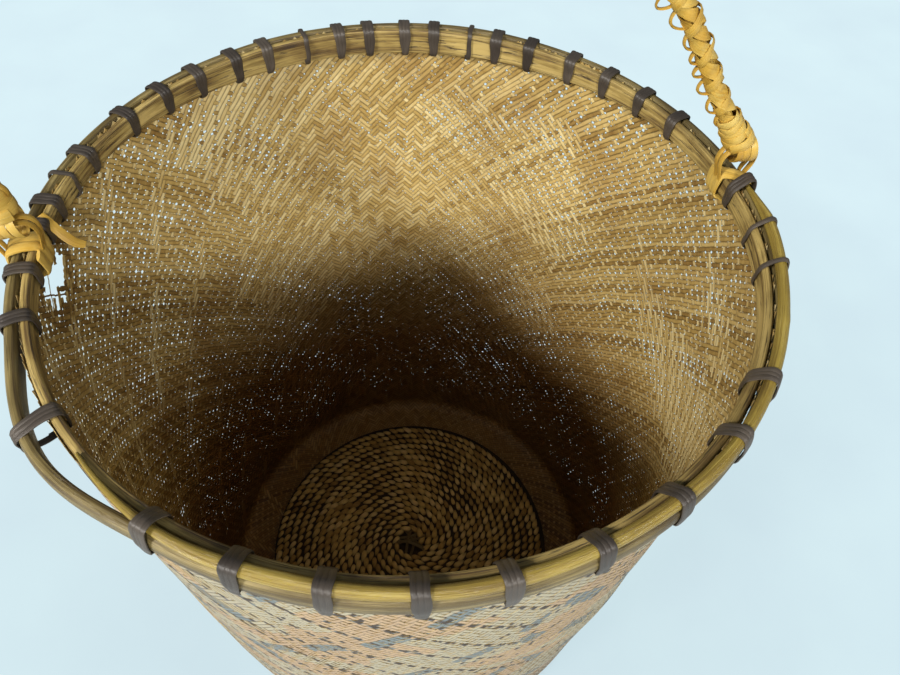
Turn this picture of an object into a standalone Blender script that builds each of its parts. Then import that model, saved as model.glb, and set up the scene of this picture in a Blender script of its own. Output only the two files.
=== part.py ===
"""Plaited rattan basket: a tapering woven wall on a twined round base, a rim of two split
hoops with a round cane on its near side, lashed down by strips, and a bail handle whose two
knots turn on the tie loops at the ends of one chord of the rim.

The origin is the centre of the foot, +Z is up, and X runs along the chord between the ties."""

import math
from functools import cache

import bmesh
import bpy
import numpy as np
from mathutils import Vector

MM = 0.001
TURN = 2 * math.pi
CLEARANCE = 0.3 * MM  # between pieces that touch
SOFT_EDGE = math.radians(40)  # facets that meet at less than this are shaded as one surface

# Wall, woven in one piece from the base disc to the rim
RIM_HEIGHT = 330 * MM
RIM_RADIUS = 140 * MM
FLARE = 16 * MM  # from the outside of the foot to the outside of the rim
FOOT_BEND = 9 * MM
WALL_THICKNESS = 1.6 * MM
WALL_BULGE = 2.5 * MM
LEDGE_WIDTH = 6 * MM  # of the wall under the edge of the base disc
WALL_HEIGHT_SHARES = (0.25, 0.5, 0.75)
COLUMN_STEP = math.radians(5)

# Base disc, twined, with a slight dome
TURN_IN = 23 * MM  # width of the wall's own ring round the base disc
BASE_THICKNESS = 5 * MM
BASE_DOME = 6 * MM
BASE_CENTRE_SHARE = 0.08
BASE_RING_SHARES = (0.35, 0.7)
BASE_COLUMNS = 48

# Rim hoops and the cane on top of them
INNER_HOOP_HEIGHT = 12 * MM
INNER_HOOP_THICKNESS = 3.2 * MM
OUTER_HOOP_HEIGHT = 9 * MM
OUTER_HOOP_THICKNESS = 3.8 * MM
HOOP_CORNER = 1.2 * MM
BOW_DEPTH = 5 * MM  # the outer hoop stands off the wall here
BOW_TURN_SHARES = (0.530, 0.645)
CANE_DIAMETER = 4.4 * MM
CANE_INSET = 3 * MM  # from the outside of the rim to the middle of the cane
CANE_TURN_SHARES = (0.600, 1.0045)
CANE_STEP = math.radians(3)
CANE_SIDES = 8
CANE_TIP_SHARE = 0.45

# Lashings, each a split strip wound round the whole rim
LASHING_TURN_SHARES = (
    0.055, 0.079, 0.103, 0.126, 0.152, 0.172, 0.188, 0.209, 0.226, 0.247, 0.264, 0.284,
    0.307, 0.326, 0.349, 0.371, 0.395, 0.427, 0.444, 0.461, 0.476, 0.502, 0.528, 0.578,
    0.639, 0.671, 0.700, 0.729, 0.757, 0.788, 0.821, 0.856, 0.886, 0.948, 0.972, 0.999,
)
SINGLE_TURN_SHARES = (0.188, 0.284, 0.444, 0.948, 0.972)
STRIP_WIDTH = 1.4 * MM
STRIP_THICKNESS = 0.7 * MM
STRIP_SPACE = 0.5 * MM
HOLE_CLEARANCE = 0.4 * MM
LASHING_TOP_SHARE = 0.3125  # of a turn, from its start inside the rim to the middle of its top

# Tie loops that carry the handle
TIE_TURN_SHARE = 0.011  # of a turn, from the chord's direction to each tie
TIE_WIDTH = 4 * MM
TIE_THICKNESS = 1.2 * MM
TIE_SPACE = 0.5 * MM
TIE_TURNS = 2
TIE_POINTS = 10
TIE_TOP_SHARE = 0.35
TIE_RISE = 12.5 * MM  # from the rim to the middle of the strips on top
TIE_HALF_SPAN = 7.5 * MM
TIE_CORNER = 3 * MM
TIE_CLEARANCE = 0.8 * MM
TAIL_REACH = 22 * MM
TAIL_LIFT = 5 * MM
TAIL_SHARES = ((0.35, 0.02), (0.7, 0.3), (1.0, 1.0))

# Handle
HANDLE_RISE = 150 * MM
HANDLE_PATH_SHARES = (
    (-1.0, 0.0), (-1.01, 0.3), (-0.95, 0.6), (-0.78, 0.87), (-0.5, 1.0), (-0.18, 0.96),
    (0.15, 0.82), (0.43, 0.63), (0.666, 0.415), (0.758, 0.305), (0.871, 0.153), (1.0, 0.0),
)
CORE_DIAMETER = 7 * MM
CORE_SIDES = 8
CORE_STEP = 10 * MM
WRAP_WIDTH = 4 * MM
WRAP_THICKNESS = 1.2 * MM
WRAP_TURNS = 24
WRAP_POINTS = 8
WRAP_MARGIN = 3 * MM
KNOT_LENGTH = 10 * MM
KNOT_THICKNESS = 2.4 * MM
KNOT_ROUNDING = 1.2 * MM
KNOT_CLEARANCE = 0.4 * MM
KNOT_SIDES = 16

# Sizes that follow from the ones above
FOOT_RADIUS = RIM_RADIUS - FLARE
BASE_RADIUS = FOOT_RADIUS - TURN_IN
RIM_HALF = (INNER_HOOP_THICKNESS + WALL_THICKNESS + OUTER_HOOP_THICKNESS) / 2 + CLEARANCE
RIM_MIDDLE = RIM_RADIUS - RIM_HALF
WALL_TOP_RADIUS = RIM_RADIUS - OUTER_HOOP_THICKNESS - CLEARANCE
WALL_OUTSIDE = WALL_TOP_RADIUS - RIM_MIDDLE
STRIP_PITCH = STRIP_WIDTH + STRIP_SPACE
TIE_PITCH = TIE_WIDTH + TIE_SPACE
TIE_ANGLE = TIE_TURN_SHARE * TURN
PIVOT = Vector((0, RIM_MIDDLE * math.sin(TIE_ANGLE), RIM_HEIGHT + TIE_RISE))
HALF_SPAN = RIM_MIDDLE * math.cos(TIE_ANGLE)
TIE_HALF_WIDTH = TIE_WIDTH / 2 + TIE_PITCH * (TIE_TURNS - 1) / 2
KNOT_BORE = math.hypot(TIE_HALF_WIDTH + TIE_PITCH / TIE_POINTS, TIE_THICKNESS / 2) + KNOT_CLEARANCE
KNOT_RADIUS = KNOT_BORE + KNOT_THICKNESS

MATERIALS = {
    "plaited_rattan": ((0.42, 0.27, 0.11), 0.62),
    "twined_strip": ((0.28, 0.18, 0.07), 0.68),
    "brown_split_cane": ((0.33, 0.20, 0.08), 0.5),
    "golden_split_cane": ((0.52, 0.36, 0.12), 0.42),
    "yellow_cane": ((0.68, 0.47, 0.12), 0.3),
    "dark_strip": ((0.07, 0.05, 0.045), 0.6),
    "yellow_strip": ((0.72, 0.42, 0.09), 0.4),
}


@cache
def material(name):
    """A Principled material of the named colour and roughness."""
    colour, roughness = MATERIALS[name]
    made = bpy.data.materials.new(name)
    made.use_nodes = True
    shader = made.node_tree.nodes["Principled BSDF"]
    shader.inputs["Base Color"].default_value = (*colour, 1)
    shader.inputs["Roughness"].default_value = roughness
    shader.inputs["Metallic"].default_value = 0
    made.diffuse_color = (*colour, 1)
    return made


def closed_mesh(name, points, faces):
    """A mesh of these points and faces with its faces turned outwards."""
    mesh = bpy.data.meshes.new(name)
    work = bmesh.new()
    corners = [work.verts.new(point) for point in points]
    for face in faces:
        work.faces.new([corners[i] for i in face])
    bmesh.ops.recalc_face_normals(work, faces=work.faces)
    if work.calc_volume(signed=True) < 0:
        bmesh.ops.reverse_faces(work, faces=work.faces)
    work.to_mesh(mesh)
    work.free()
    mesh.shade_smooth()
    mesh.set_sharp_from_angle(angle=SOFT_EDGE)
    return mesh


def place(name, mesh, slot, parent=None, location=(0, 0, 0), turn=0):
    """An object of this mesh, turned about Z and moved to its place."""
    placed = bpy.data.objects.new(name, mesh)
    bpy.context.collection.objects.link(placed)
    if not mesh.materials:
        mesh.materials.append(material(slot))
    placed.parent = parent
    placed.location = location
    placed.rotation_euler.z = turn
    return placed


def swept_mesh(name, rings, joined=False):
    """A solid through rings of equal length: joined end to start, or closed by flat ends."""
    count, sides = len(rings), len(rings[0])
    points = [point for ring in rings for point in ring]
    faces = []
    for i in range(count if joined else count - 1):
        near, far = i * sides, (i + 1) % count * sides
        for j in range(sides):
            k = (j + 1) % sides
            faces.append((near + j, near + k, far + k, far + j))
    if not joined:
        faces += [tuple(range(sides)), tuple(range((count - 1) * sides, count * sides))]
    return closed_mesh(name, points, faces)


def polar(radius, angle, height):
    return Vector((radius * math.cos(angle), radius * math.sin(angle), height))


def in_cane(angle):
    """True where the round cane lies on the rim at this angle."""
    start, end = (share * TURN for share in CANE_TURN_SHARES)
    return (angle - start) % TURN < end - start


def bow(angle):
    """How far the outer hoop stands off the wall at this angle."""
    start, end = (share * TURN for share in BOW_TURN_SHARES)
    along = (angle % TURN - start) / (end - start)
    return BOW_DEPTH * math.sin(math.pi * along) ** 2 if 0 < along < 1 else 0


def lashings():
    """(angle, number of turns) of each lashing."""
    return [
        (share * TURN, 1 if share in SINGLE_TURN_SHARES else 2) for share in LASHING_TURN_SHARES
    ]


def hole_spans():
    """The angles between which the wall is pierced for each lashing and tie."""
    spans = []
    for angle, turns in lashings():
        half = (turns * STRIP_PITCH + STRIP_WIDTH) / 2 + HOLE_CLEARANCE
        spans.append((angle - half / WALL_TOP_RADIUS, angle + half / WALL_TOP_RADIUS))
    half = TIE_HALF_WIDTH + TIE_PITCH / 2 + TIE_CLEARANCE
    for angle in (TIE_ANGLE, TURN / 2 - TIE_ANGLE):
        spans.append((angle - half / WALL_TOP_RADIUS, angle + half / WALL_TOP_RADIUS))
    return sorted(spans)


def wall_columns():
    """[(angle, True if a hole starts here)] round the wall, with plain columns between holes."""
    spans, columns = hole_spans(), []
    for (start, end), (after, _) in zip(spans, spans[1:] + [(spans[0][0] + TURN, 0)]):
        columns.append((start, True))
        steps = max(1, math.ceil((after - end) / COLUMN_STEP))
        columns += [(end + (after - end) * i / steps, False) for i in range(steps)]
    return columns


def wall_profile():
    """((outer radius, height), (inner radius, height)) from the ledge under the base disc up."""
    bend = FOOT_RADIUS - FOOT_BEND
    ledge = BASE_RADIUS - LEDGE_WIDTH
    profile = [((ledge, 0), (ledge, WALL_THICKNESS))]
    for angle in (0, TURN / 12, TURN / 6, TURN / 4):
        inner = FOOT_BEND - WALL_THICKNESS
        profile.append(
            (
                (bend + FOOT_BEND * math.sin(angle), FOOT_BEND * (1 - math.cos(angle))),
                (bend + inner * math.sin(angle), FOOT_BEND - inner * math.cos(angle)),
            )
        )
    hole_top = RIM_HEIGHT - INNER_HOOP_HEIGHT
    hole_low = hole_top - CLEARANCE - TIE_THICKNESS - HOLE_CLEARANCE
    for share in WALL_HEIGHT_SHARES:
        height = FOOT_BEND + (hole_low - FOOT_BEND) * share
        radius = FOOT_RADIUS + (WALL_TOP_RADIUS - FOOT_RADIUS) * share
        radius += WALL_BULGE * math.sin(math.pi * share)
        profile.append(((radius, height), (radius - WALL_THICKNESS, height)))
    for height in (hole_low, hole_top, RIM_HEIGHT):
        profile.append(((WALL_TOP_RADIUS, height), (WALL_TOP_RADIUS - WALL_THICKNESS, height)))
    return profile


def make_wall():
    columns, profile = wall_columns(), wall_profile()
    count, levels = len(columns), len(profile)
    points = [
        polar(radius, angle, height)
        for angle, _ in columns
        for pair in profile
        for radius, height in pair
    ]

    def at(column, level, side):
        return (column % count * levels + level) * 2 + side

    hole = levels - 3
    faces = []
    for i, (_, pierced) in enumerate(columns):
        for level in range(levels - 1):
            if pierced and level == hole:
                corners = ((i, hole), (i + 1, hole), (i + 1, hole + 1), (i, hole + 1))
                for (a, low), (b, high) in zip(corners, corners[1:] + corners[:1]):
                    faces.append((at(a, low, 0), at(b, high, 0), at(b, high, 1), at(a, low, 1)))
                continue
            for side in (0, 1):
                faces.append(
                    (
                        at(i, level, side),
                        at(i + 1, level, side),
                        at(i + 1, level + 1, side),
                        at(i, level + 1, side),
                    )
                )
        for level in (0, levels - 1):
            faces.append(
                (at(i, level, 0), at(i + 1, level, 0), at(i + 1, level, 1), at(i, level, 1))
            )
    place("woven_wall", closed_mesh("woven_wall", points, faces), "plaited_rattan")


def make_base():
    seat = WALL_THICKNESS + CLEARANCE

    def circle(share, lift):
        height = seat + BASE_DOME * (1 - share**2) + lift
        return [
            polar(BASE_RADIUS * share, TURN * i / BASE_COLUMNS, height)
            for i in range(BASE_COLUMNS)
        ]

    shares = (BASE_CENTRE_SHARE, *BASE_RING_SHARES, 1)
    rings = [circle(share, 0) for share in shares]
    rings += [circle(share, BASE_THICKNESS) for share in reversed(shares)]
    place("twined_base", swept_mesh("twined_base", rings), "twined_strip")


def make_hoops():
    """The two split hoops, flat against the woven wall between them."""
    inner, outer = INNER_HOOP_THICKNESS, OUTER_HOOP_THICKNESS
    low, drop, corner = -INNER_HOOP_HEIGHT, -OUTER_HOOP_HEIGHT, HOOP_CORNER
    sections = {
        "rim_inner_hoop": (
            (RIM_MIDDLE - RIM_HALF, "brown_split_cane"),
            ((corner, 0), (inner, 0), (inner, low), (corner, low), (0, low + corner), (0, -corner)),
        ),
        "rim_outer_hoop": (
            (RIM_RADIUS - outer, "golden_split_cane"),
            (
                (0, 0),
                (outer - corner, 0),
                (outer, -corner),
                (outer, drop + corner),
                (outer - corner, drop),
                (0, drop),
            ),
        ),
    }
    columns = math.ceil(TURN / COLUMN_STEP)
    for name, ((radius, slot), section) in sections.items():
        rings = []
        for i in range(columns):
            angle = TURN * i / columns
            out = radius + (bow(angle) if name == "rim_outer_hoop" else 0)
            rings.append([polar(out + x, angle, RIM_HEIGHT + z) for x, z in section])
        place(name, swept_mesh(name, rings, joined=True), slot)


def make_cane():
    """The round cane laid on the near side of the rim, thinner at its two ends."""
    start, end = (share * TURN for share in CANE_TURN_SHARES)
    steps = math.ceil((end - start) / CANE_STEP)
    rings = []
    for i in range(steps + 1):
        angle = start + (end - start) * i / steps
        near_end = min(i, steps - i, 2) / 2
        radius = CANE_DIAMETER / 2 * (CANE_TIP_SHARE + (1 - CANE_TIP_SHARE) * near_end)
        height = RIM_HEIGHT + CLEARANCE + radius
        ring = []
        for j in range(CANE_SIDES):
            around = TURN * (j + 0.5) / CANE_SIDES
            out = RIM_RADIUS - CANE_INSET + radius * math.cos(around)
            ring.append(polar(out, angle, height + radius * math.sin(around)))
        rings.append(ring)
    place("rim_top_cane", swept_mesh("rim_top_cane", rings), "yellow_cane")


def offset_path(path, distance):
    """A closed clockwise path moved outwards by this distance, with mitred corners."""
    moved = []
    for i, (x, z) in enumerate(path):
        normals = []
        for (ax, az), (bx, bz) in ((path[i - 1], (x, z)), ((x, z), path[(i + 1) % len(path)])):
            length = math.hypot(bx - ax, bz - az)
            normals.append(((az - bz) / length, (bx - ax) / length))
        (ax, az), (bx, bz) = normals
        scale = distance / (1 + ax * bx + az * bz)
        moved.append((x + (ax + bx) * scale, z + (az + bz) * scale))
    return moved


def wound_rings(path, width, thickness, pitch, turns, top_share, tail=()):
    """Rings of four points for a strip wound round a path in X and Z, stepping along Y.

    The turns are centred on Y where they pass top_share of the path."""
    inside, outside, rings = path, offset_path(path, thickness), []
    for k in range(turns * len(path)):
        along = (k / len(path) - top_share - (turns - 1) / 2) * pitch
        (ax, az), (bx, bz) = inside[k % len(path)], outside[k % len(path)]
        low, high = along - width / 2, along + width / 2
        rings.append([(ax, low, az), (ax, high, az), (bx, high, bz), (bx, low, bz)])
    for x, z in tail:
        last = rings[-1]
        rings.append([(x, last[i][1], z + (last[i][2] - last[0][2])) for i in range(4)])
    return rings


def report_least_gap(name, rings, per_turn):
    """Measures a winding's least gap to itself on points of its rings, and prints it."""
    points = []
    for near, far in zip(rings, rings[1:]):
        near, far = np.array(near), np.array(far)
        points += [near + (far - near) * share for share in (0, 0.25, 0.5, 0.75)]
    points = np.array([*points, rings[-1]])
    apart = 4 * (per_turn // 2)
    least = math.inf
    for i in range(len(points) - apart):
        gaps = points[i + apart :, None] - points[i][:, None]
        least = min(least, np.linalg.norm(gaps, axis=-1).min())
    print(f"least gap of {name} to itself: {least / MM:.2f} mm")


@cache
def lashing_mesh(turns, over_cane, stand_off):
    """A lashing in its own frame: X outwards from the middle of the rim, Z up from its top."""
    half, corner = RIM_HALF + CLEARANCE, HOOP_CORNER
    outside, low = half + stand_off, -INNER_HOOP_HEIGHT
    top_left, top_right, top = corner - half, outside - corner, CLEARANCE
    if over_cane:
        middle = RIM_RADIUS - CANE_INSET - RIM_MIDDLE
        top_left, top_right = middle - CANE_DIAMETER / 2, middle + CANE_DIAMETER / 2
        top = CANE_DIAMETER + 2 * CLEARANCE
    path = [
        (-half, low + corner),
        (-half, -corner),
        (top_left, top),
        (top_right, top),
        (outside, -corner),
        (outside, -OUTER_HOOP_HEIGHT),
        (WALL_OUTSIDE + CLEARANCE, low - CLEARANCE),
        (corner - half, low - CLEARANCE),
    ]
    rings = wound_rings(path, STRIP_WIDTH, STRIP_THICKNESS, STRIP_PITCH, turns, LASHING_TOP_SHARE)
    report_least_gap(f"a lashing of {turns}", rings, len(path))
    return swept_mesh(f"lashing_of_{turns}", rings)


def make_lashings():
    for number, (angle, turns) in enumerate(lashings(), 1):
        mesh = lashing_mesh(turns, in_cane(angle), bow(angle))
        location = polar(RIM_MIDDLE, angle, RIM_HEIGHT)
        place(f"lashing_{number:02}", mesh, "dark_strip", location=location, turn=angle)


def make_tie(name, side, with_tail):
    """A tie loop over the rim whose strips on top carry a knot of the handle."""
    half, corner = RIM_HALF + TIE_CLEARANCE, HOOP_CORNER
    low, top = -INNER_HOOP_HEIGHT, TIE_RISE - TIE_THICKNESS / 2
    path = [
        (-half, low + corner),
        (-half, 0),
        (-TIE_HALF_SPAN, top - TIE_CORNER),
        (TIE_CORNER - TIE_HALF_SPAN, top),
        (TIE_HALF_SPAN - TIE_CORNER, top),
        (TIE_HALF_SPAN, top - TIE_CORNER),
        (half, 0),
        (half, -OUTER_HOOP_HEIGHT),
        (WALL_OUTSIDE + TIE_CLEARANCE, low - CLEARANCE),
        (corner - half, low - CLEARANCE),
    ]
    tail = []
    if with_tail:
        root_x, root_z = path[-1]
        tail = [(root_x - TAIL_REACH * x, root_z + TAIL_LIFT * z) for x, z in TAIL_SHARES]
    rings = wound_rings(
        path, TIE_WIDTH, TIE_THICKNESS, TIE_PITCH, TIE_TURNS, TIE_TOP_SHARE, tail
    )
    report_least_gap(name, rings, len(path))
    location = (side * HALF_SPAN, PIVOT.y, RIM_HEIGHT)
    turn = 0 if side > 0 else math.pi
    place(name, swept_mesh(name, rings), "yellow_strip", location=location, turn=turn)


def handle_path():
    """Points of the handle's middle line in its own frame, from a smooth curve."""
    knots = [Vector((x * HALF_SPAN, 0, z * HANDLE_RISE)) for x, z in HANDLE_PATH_SHARES]
    ends = [2 * knots[0] - knots[1], *knots, 2 * knots[-1] - knots[-2]]
    line = []
    for a, b, c, d in zip(ends, ends[1:], ends[2:], ends[3:]):
        steps = math.ceil((c - b).length / CORE_STEP)
        for i in range(steps):
            t = i / steps
            line.append(
                b
                + (c - a) * (t / 2)
                + (2 * a - 5 * b + 4 * c - d) * (t * t / 2)
                + (3 * b - a - 3 * c + d) * (t**3 / 2)
            )
    return [*line, knots[-1]]


class Route:
    """A line in the X-Z plane, read by distance along it."""

    def __init__(self, points):
        self.points = points
        self.reached = [0]
        for a, b in zip(points, points[1:]):
            self.reached.append(self.reached[-1] + (b - a).length)
        self.length = self.reached[-1]

    def at(self, distance):
        """(point, direction) at this distance from the start."""
        i = int(np.searchsorted(self.reached, distance, side="right")) - 1
        i = min(max(i, 0), len(self.points) - 2)
        share = (distance - self.reached[i]) / (self.reached[i + 1] - self.reached[i])
        here, after = self.points[i], self.points[i + 1]
        smooth = self.direction(i).lerp(self.direction(i + 1), share)
        return here.lerp(after, share), smooth.normalized()

    def direction(self, i):
        before, after = self.points[max(i - 1, 0)], self.points[min(i + 1, len(self.points) - 1)]
        return (after - before).normalized()

    def around(self, distance, angle, radius, shift=0):
        """A point at this radius and angle round the line, shifted along it."""
        point, direction = self.at(distance)
        across, side = Vector((0, 1, 0)), direction.cross(Vector((0, 1, 0)))
        out = across * math.cos(angle) + side * math.sin(angle)
        return point + out * radius + direction * shift


def make_handle():
    pivot = bpy.data.objects.new("handle_pivot", None)
    bpy.context.collection.objects.link(pivot)
    pivot.location = PIVOT
    route = Route(handle_path())
    start = KNOT_RADIUS + CLEARANCE
    end = route.length - start
    radius = CORE_DIAMETER / 2

    steps = math.ceil((end - start) / CORE_STEP)
    rings = []
    for i in range(steps + 1):
        distance = start + (end - start) * i / steps
        angles = [TURN * (j + 0.5) / CORE_SIDES for j in range(CORE_SIDES)]
        rings.append([route.around(distance, angle, radius) for angle in angles])
    for point in rings[0] + rings[-1]:
        point.z = start
    place("handle_core", swept_mesh("handle_core", rings), "yellow_cane", pivot)

    low = (radius + CLEARANCE) / math.cos(math.pi / WRAP_POINTS)
    high = low + WRAP_THICKNESS
    first, last = start + WRAP_MARGIN, end - WRAP_MARGIN
    rings = []
    for i in range(WRAP_TURNS * WRAP_POINTS + 1):
        distance = first + (last - first) * i / (WRAP_TURNS * WRAP_POINTS)
        angle, half = TURN * i / WRAP_POINTS, WRAP_WIDTH / 2
        corners = ((low, -half), (low, half), (high, half), (high, -half))
        rings.append([route.around(distance, angle, out, shift) for out, shift in corners])
    report_least_gap("handle_wrap", rings, WRAP_POINTS)
    place("handle_wrap", swept_mesh("handle_wrap", rings), "yellow_strip", pivot)

    half, round_off = KNOT_LENGTH / 2, KNOT_ROUNDING
    section = (
        (KNOT_BORE, -half),
        (KNOT_RADIUS - round_off, -half),
        (KNOT_RADIUS, round_off - half),
        (KNOT_RADIUS, half - round_off),
        (KNOT_RADIUS - round_off, half),
        (KNOT_BORE, half),
    )
    for name, side in (("handle_knot_left", -1), ("handle_knot_right", 1)):
        rings = []
        for i in range(KNOT_SIDES):
            angle = TURN * i / KNOT_SIDES
            rings.append([(x, r * math.cos(angle), r * math.sin(angle)) for r, x in section])
        knot = place(name, swept_mesh(name, rings, joined=True), "yellow_strip", pivot)
        knot.location = (side * HALF_SPAN, 0, 0)


def main():
    for old in list(bpy.data.objects):
        bpy.data.objects.remove(old)
    make_wall()
    make_base()
    make_hoops()
    make_cane()
    make_lashings()
    make_tie("tie_loop_right", 1, with_tail=False)
    make_tie("tie_loop_left", -1, with_tail=True)
    make_handle()


main()
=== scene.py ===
import math

import bmesh
import bpy
import numpy as np
from mathutils import Matrix, Vector


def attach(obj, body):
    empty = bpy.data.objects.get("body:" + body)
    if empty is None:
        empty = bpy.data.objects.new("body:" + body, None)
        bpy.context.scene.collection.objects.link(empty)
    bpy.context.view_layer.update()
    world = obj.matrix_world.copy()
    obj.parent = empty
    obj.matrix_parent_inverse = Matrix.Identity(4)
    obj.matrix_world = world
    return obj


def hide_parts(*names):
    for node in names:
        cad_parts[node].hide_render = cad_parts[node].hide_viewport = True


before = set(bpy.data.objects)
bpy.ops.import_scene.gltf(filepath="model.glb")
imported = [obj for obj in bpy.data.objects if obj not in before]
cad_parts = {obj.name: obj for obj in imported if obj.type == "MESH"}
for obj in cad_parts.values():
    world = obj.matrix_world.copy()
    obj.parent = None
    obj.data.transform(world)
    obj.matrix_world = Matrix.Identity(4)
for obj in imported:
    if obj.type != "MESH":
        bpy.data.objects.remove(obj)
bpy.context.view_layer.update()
mm = 0.001
turn = 2 * math.pi
rng = np.random.default_rng(11)


def linearColour(code):
    # sRGB hex to the linear colour that the shaders take
    parts = [int(code[i:i + 2], 16) / 255 for i in (0, 2, 4)]
    return tuple(c / 12.92 if c <= 0.04045 else ((c + 0.055) / 1.055) ** 2.4 for c in parts) + (1.0,)


def feed(node, inputs):
    # inputs by name or in order: values, sockets, or nodes that give their first output in use
    for key, value in inputs.items() if isinstance(inputs, dict) else enumerate(inputs):
        if isinstance(value, bpy.types.Node):
            value = next(socket for socket in value.outputs if socket.enabled)
        if isinstance(value, bpy.types.NodeSocket):
            node.id_data.links.new(value, node.inputs[key])
        else:
            node.inputs[key].default_value = value


def addNode(tree, kind, inputs=(), **settings):
    # one node with its settings and inputs; a kind named without its family is a shader node
    node = tree.nodes.new(kind if "Node" in kind else "ShaderNode" + kind)
    for name, value in settings.items():
        setattr(node, name, value)
    feed(node, inputs)
    return node


def setRamp(node, stops):
    # colour stops as (place, hex colour)
    band = node.color_ramp.elements
    while len(band) > 1:
        band.remove(band[-1])
    band[0].position, band[0].color = stops[0][0], linearColour(stops[0][1])
    for place, code in stops[1:]:
        band.new(place).color = linearColour(code)
    return node


def newMaterial(name):
    material = bpy.data.materials.new(name)
    material.use_nodes = True
    tree = material.node_tree
    return material, tree, tree.nodes["Principled BSDF"]


def weigh(tree, total, *patterns):
    # adds patterns up, each by its share
    for pattern, share in patterns:
        total = addNode(tree, "Math", (pattern, share, total), operation="MULTIPLY_ADD")
    return total


def stretchedNoise(tree, vector, scale, detail, rough=0.5, shift=(0, 0, 0)):
    # noise drawn out along a strip
    lane = addNode(tree, "Mapping", {"Vector": vector, "Scale": scale, "Location": shift})
    return addNode(tree, "TexNoise", {"Vector": lane, "Scale": 1.0, "Detail": detail, "Roughness": rough})


def stain(tree, under, code, pattern, low, high, most):
    # lays a colour over another where a pattern rises from low to high
    share = addNode(tree, "MapRange", (pattern, low, high, 0.0, most))
    return share, addNode(tree, "Mix", {0: share, 6: under, 7: linearColour(code)}, data_type="RGBA")


def addObject(name, data):
    thing = bpy.data.objects.new(name, data)
    bpy.context.scene.collection.objects.link(thing)
    return thing


def wave(seed, x, y, size):
    # smooth noise of about -1 to 1 on a plane, from a few fixed sines
    pick = np.random.default_rng(seed)
    total = 0
    for _ in range(5):
        way, phase, pace = pick.uniform(0, turn), pick.uniform(0, turn), pick.uniform(0.6, 1.5)
        total = total + np.sin((x * math.cos(way) + y * math.sin(way)) * turn * pace / size + phase)
    return total / 2.6


def polar(reach, angle, up):
    # points or directions from their distance to the basket's axis, their angle and height
    reach, angle, up = np.broadcast_arrays(reach, angle, up)
    return np.stack([reach * np.cos(angle), reach * np.sin(angle), up], -1)


def lengthsAlong(x, z):
    # how long a line is up to each of its points
    return np.concatenate([[0], np.cumsum(np.hypot(np.diff(x), np.diff(z)))])


def smoothLine(points, parts):
    # a Catmull-Rom line through all of the points but the first and last
    fine = []
    for a, b, c, d in zip(points, points[1:], points[2:], points[3:]):
        for t in np.linspace(0, 1, parts, endpoint=False):
            fine.append(b + (c - a) * (t / 2) + (2 * a - 5 * b + 4 * c - d) * (t * t / 2)
                        + (3 * b - a - 3 * c + d) * (t ** 3 / 2))
    x, z = np.array(fine + [points[-2]]).T
    return x, z, lengthsAlong(x, z)


# camera and light
view = {
    "place": (-0.0286, -0.1930, 0.5205),
    "down": 53.233, "heading": 14.0, "roll": 3.6,  # degrees
    "lens": 28.8, "sensor": 36, "nearest": 0.01,
}


def makeCamera():
    p, h, r = (math.radians(view[k]) for k in ("down", "heading", "roll"))
    ahead = Vector((math.sin(h) * math.cos(p), math.cos(h) * math.cos(p), -math.sin(p)))
    right = Vector((math.cos(h), -math.sin(h), 0))
    above = right.cross(ahead)
    right, above = right * math.cos(r) + above * math.sin(r), above * math.cos(r) - right * math.sin(r)
    data = bpy.data.cameras.new("camera")
    data.sensor_width = view["sensor"]
    data.lens = view["lens"]
    data.clip_start = view["nearest"]
    camera = addObject("camera", data)
    turned = Matrix((right, above, -ahead)).transposed().to_4x4()
    turned.translation = view["place"]
    camera.matrix_world = turned
    bpy.context.scene.camera = camera
    bpy.context.scene.view_settings.view_transform = "Standard"


light = {
    # azimuth it comes from, elevation, distance in m, size in m, watts, colour
    "lamps": {"leftWindow": (207, 37, 3.0, 0.6, 88.0, "fffaf2"),
              "frontWindow": (272, 30.5, 3.0, 0.6, 68.0, "fffbf5"),
              "rightWindow": (308, 36, 3.0, 0.6, 14.0, "f8faff")},
    "aim": (0, 0, 0.25),
    "world": 0.16, "worldColour": "e6f2fa", "paper": "dcf4fc",
}


def makeLight():
    for name, (azimuth, rise, far, size, watts, code) in light["lamps"].items():
        data = bpy.data.lights.new(name, "AREA")
        data.shape = "DISK"
        data.size = size
        data.energy = watts
        data.color = linearColour(code)[:3]
        a, e = math.radians(azimuth), math.radians(rise)
        toward = Vector((math.cos(a) * math.cos(e), math.sin(a) * math.cos(e), math.sin(e)))
        lamp = addObject(name, data)
        lamp.location = Vector(light["aim"]) + toward * far
        lamp.rotation_euler = toward.to_track_quat("Z", "Y").to_euler()
    world = bpy.data.worlds.new("studio")
    bpy.context.scene.world = world
    world.use_nodes = True
    tree = world.node_tree
    tree.nodes.clear()
    seen = addNode(tree, "LightPath").outputs["Is Camera Ray"]
    soft = addNode(tree, "Background", (linearColour(light["worldColour"]), light["world"]))
    paper = addNode(tree, "Background", (linearColour(light["paper"]), 1.0))
    addNode(tree, "OutputWorld", (addNode(tree, "MixShader", (seen, soft, paper)),))


floor = {
    "half": 12.0, "body": "b9c4c8", "paper": "dbf2fb", "farPaper": "e0f8ff",
    # nearGlow is painted shade: the floor's glow near the basket
    "seenGlow": 0.9, "nearGlow": 0.87, "glowReach": (0.15, 0.6),  # m from the middle
    "footRadius": 0.118, "footEdge": 0.012,
}


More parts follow.
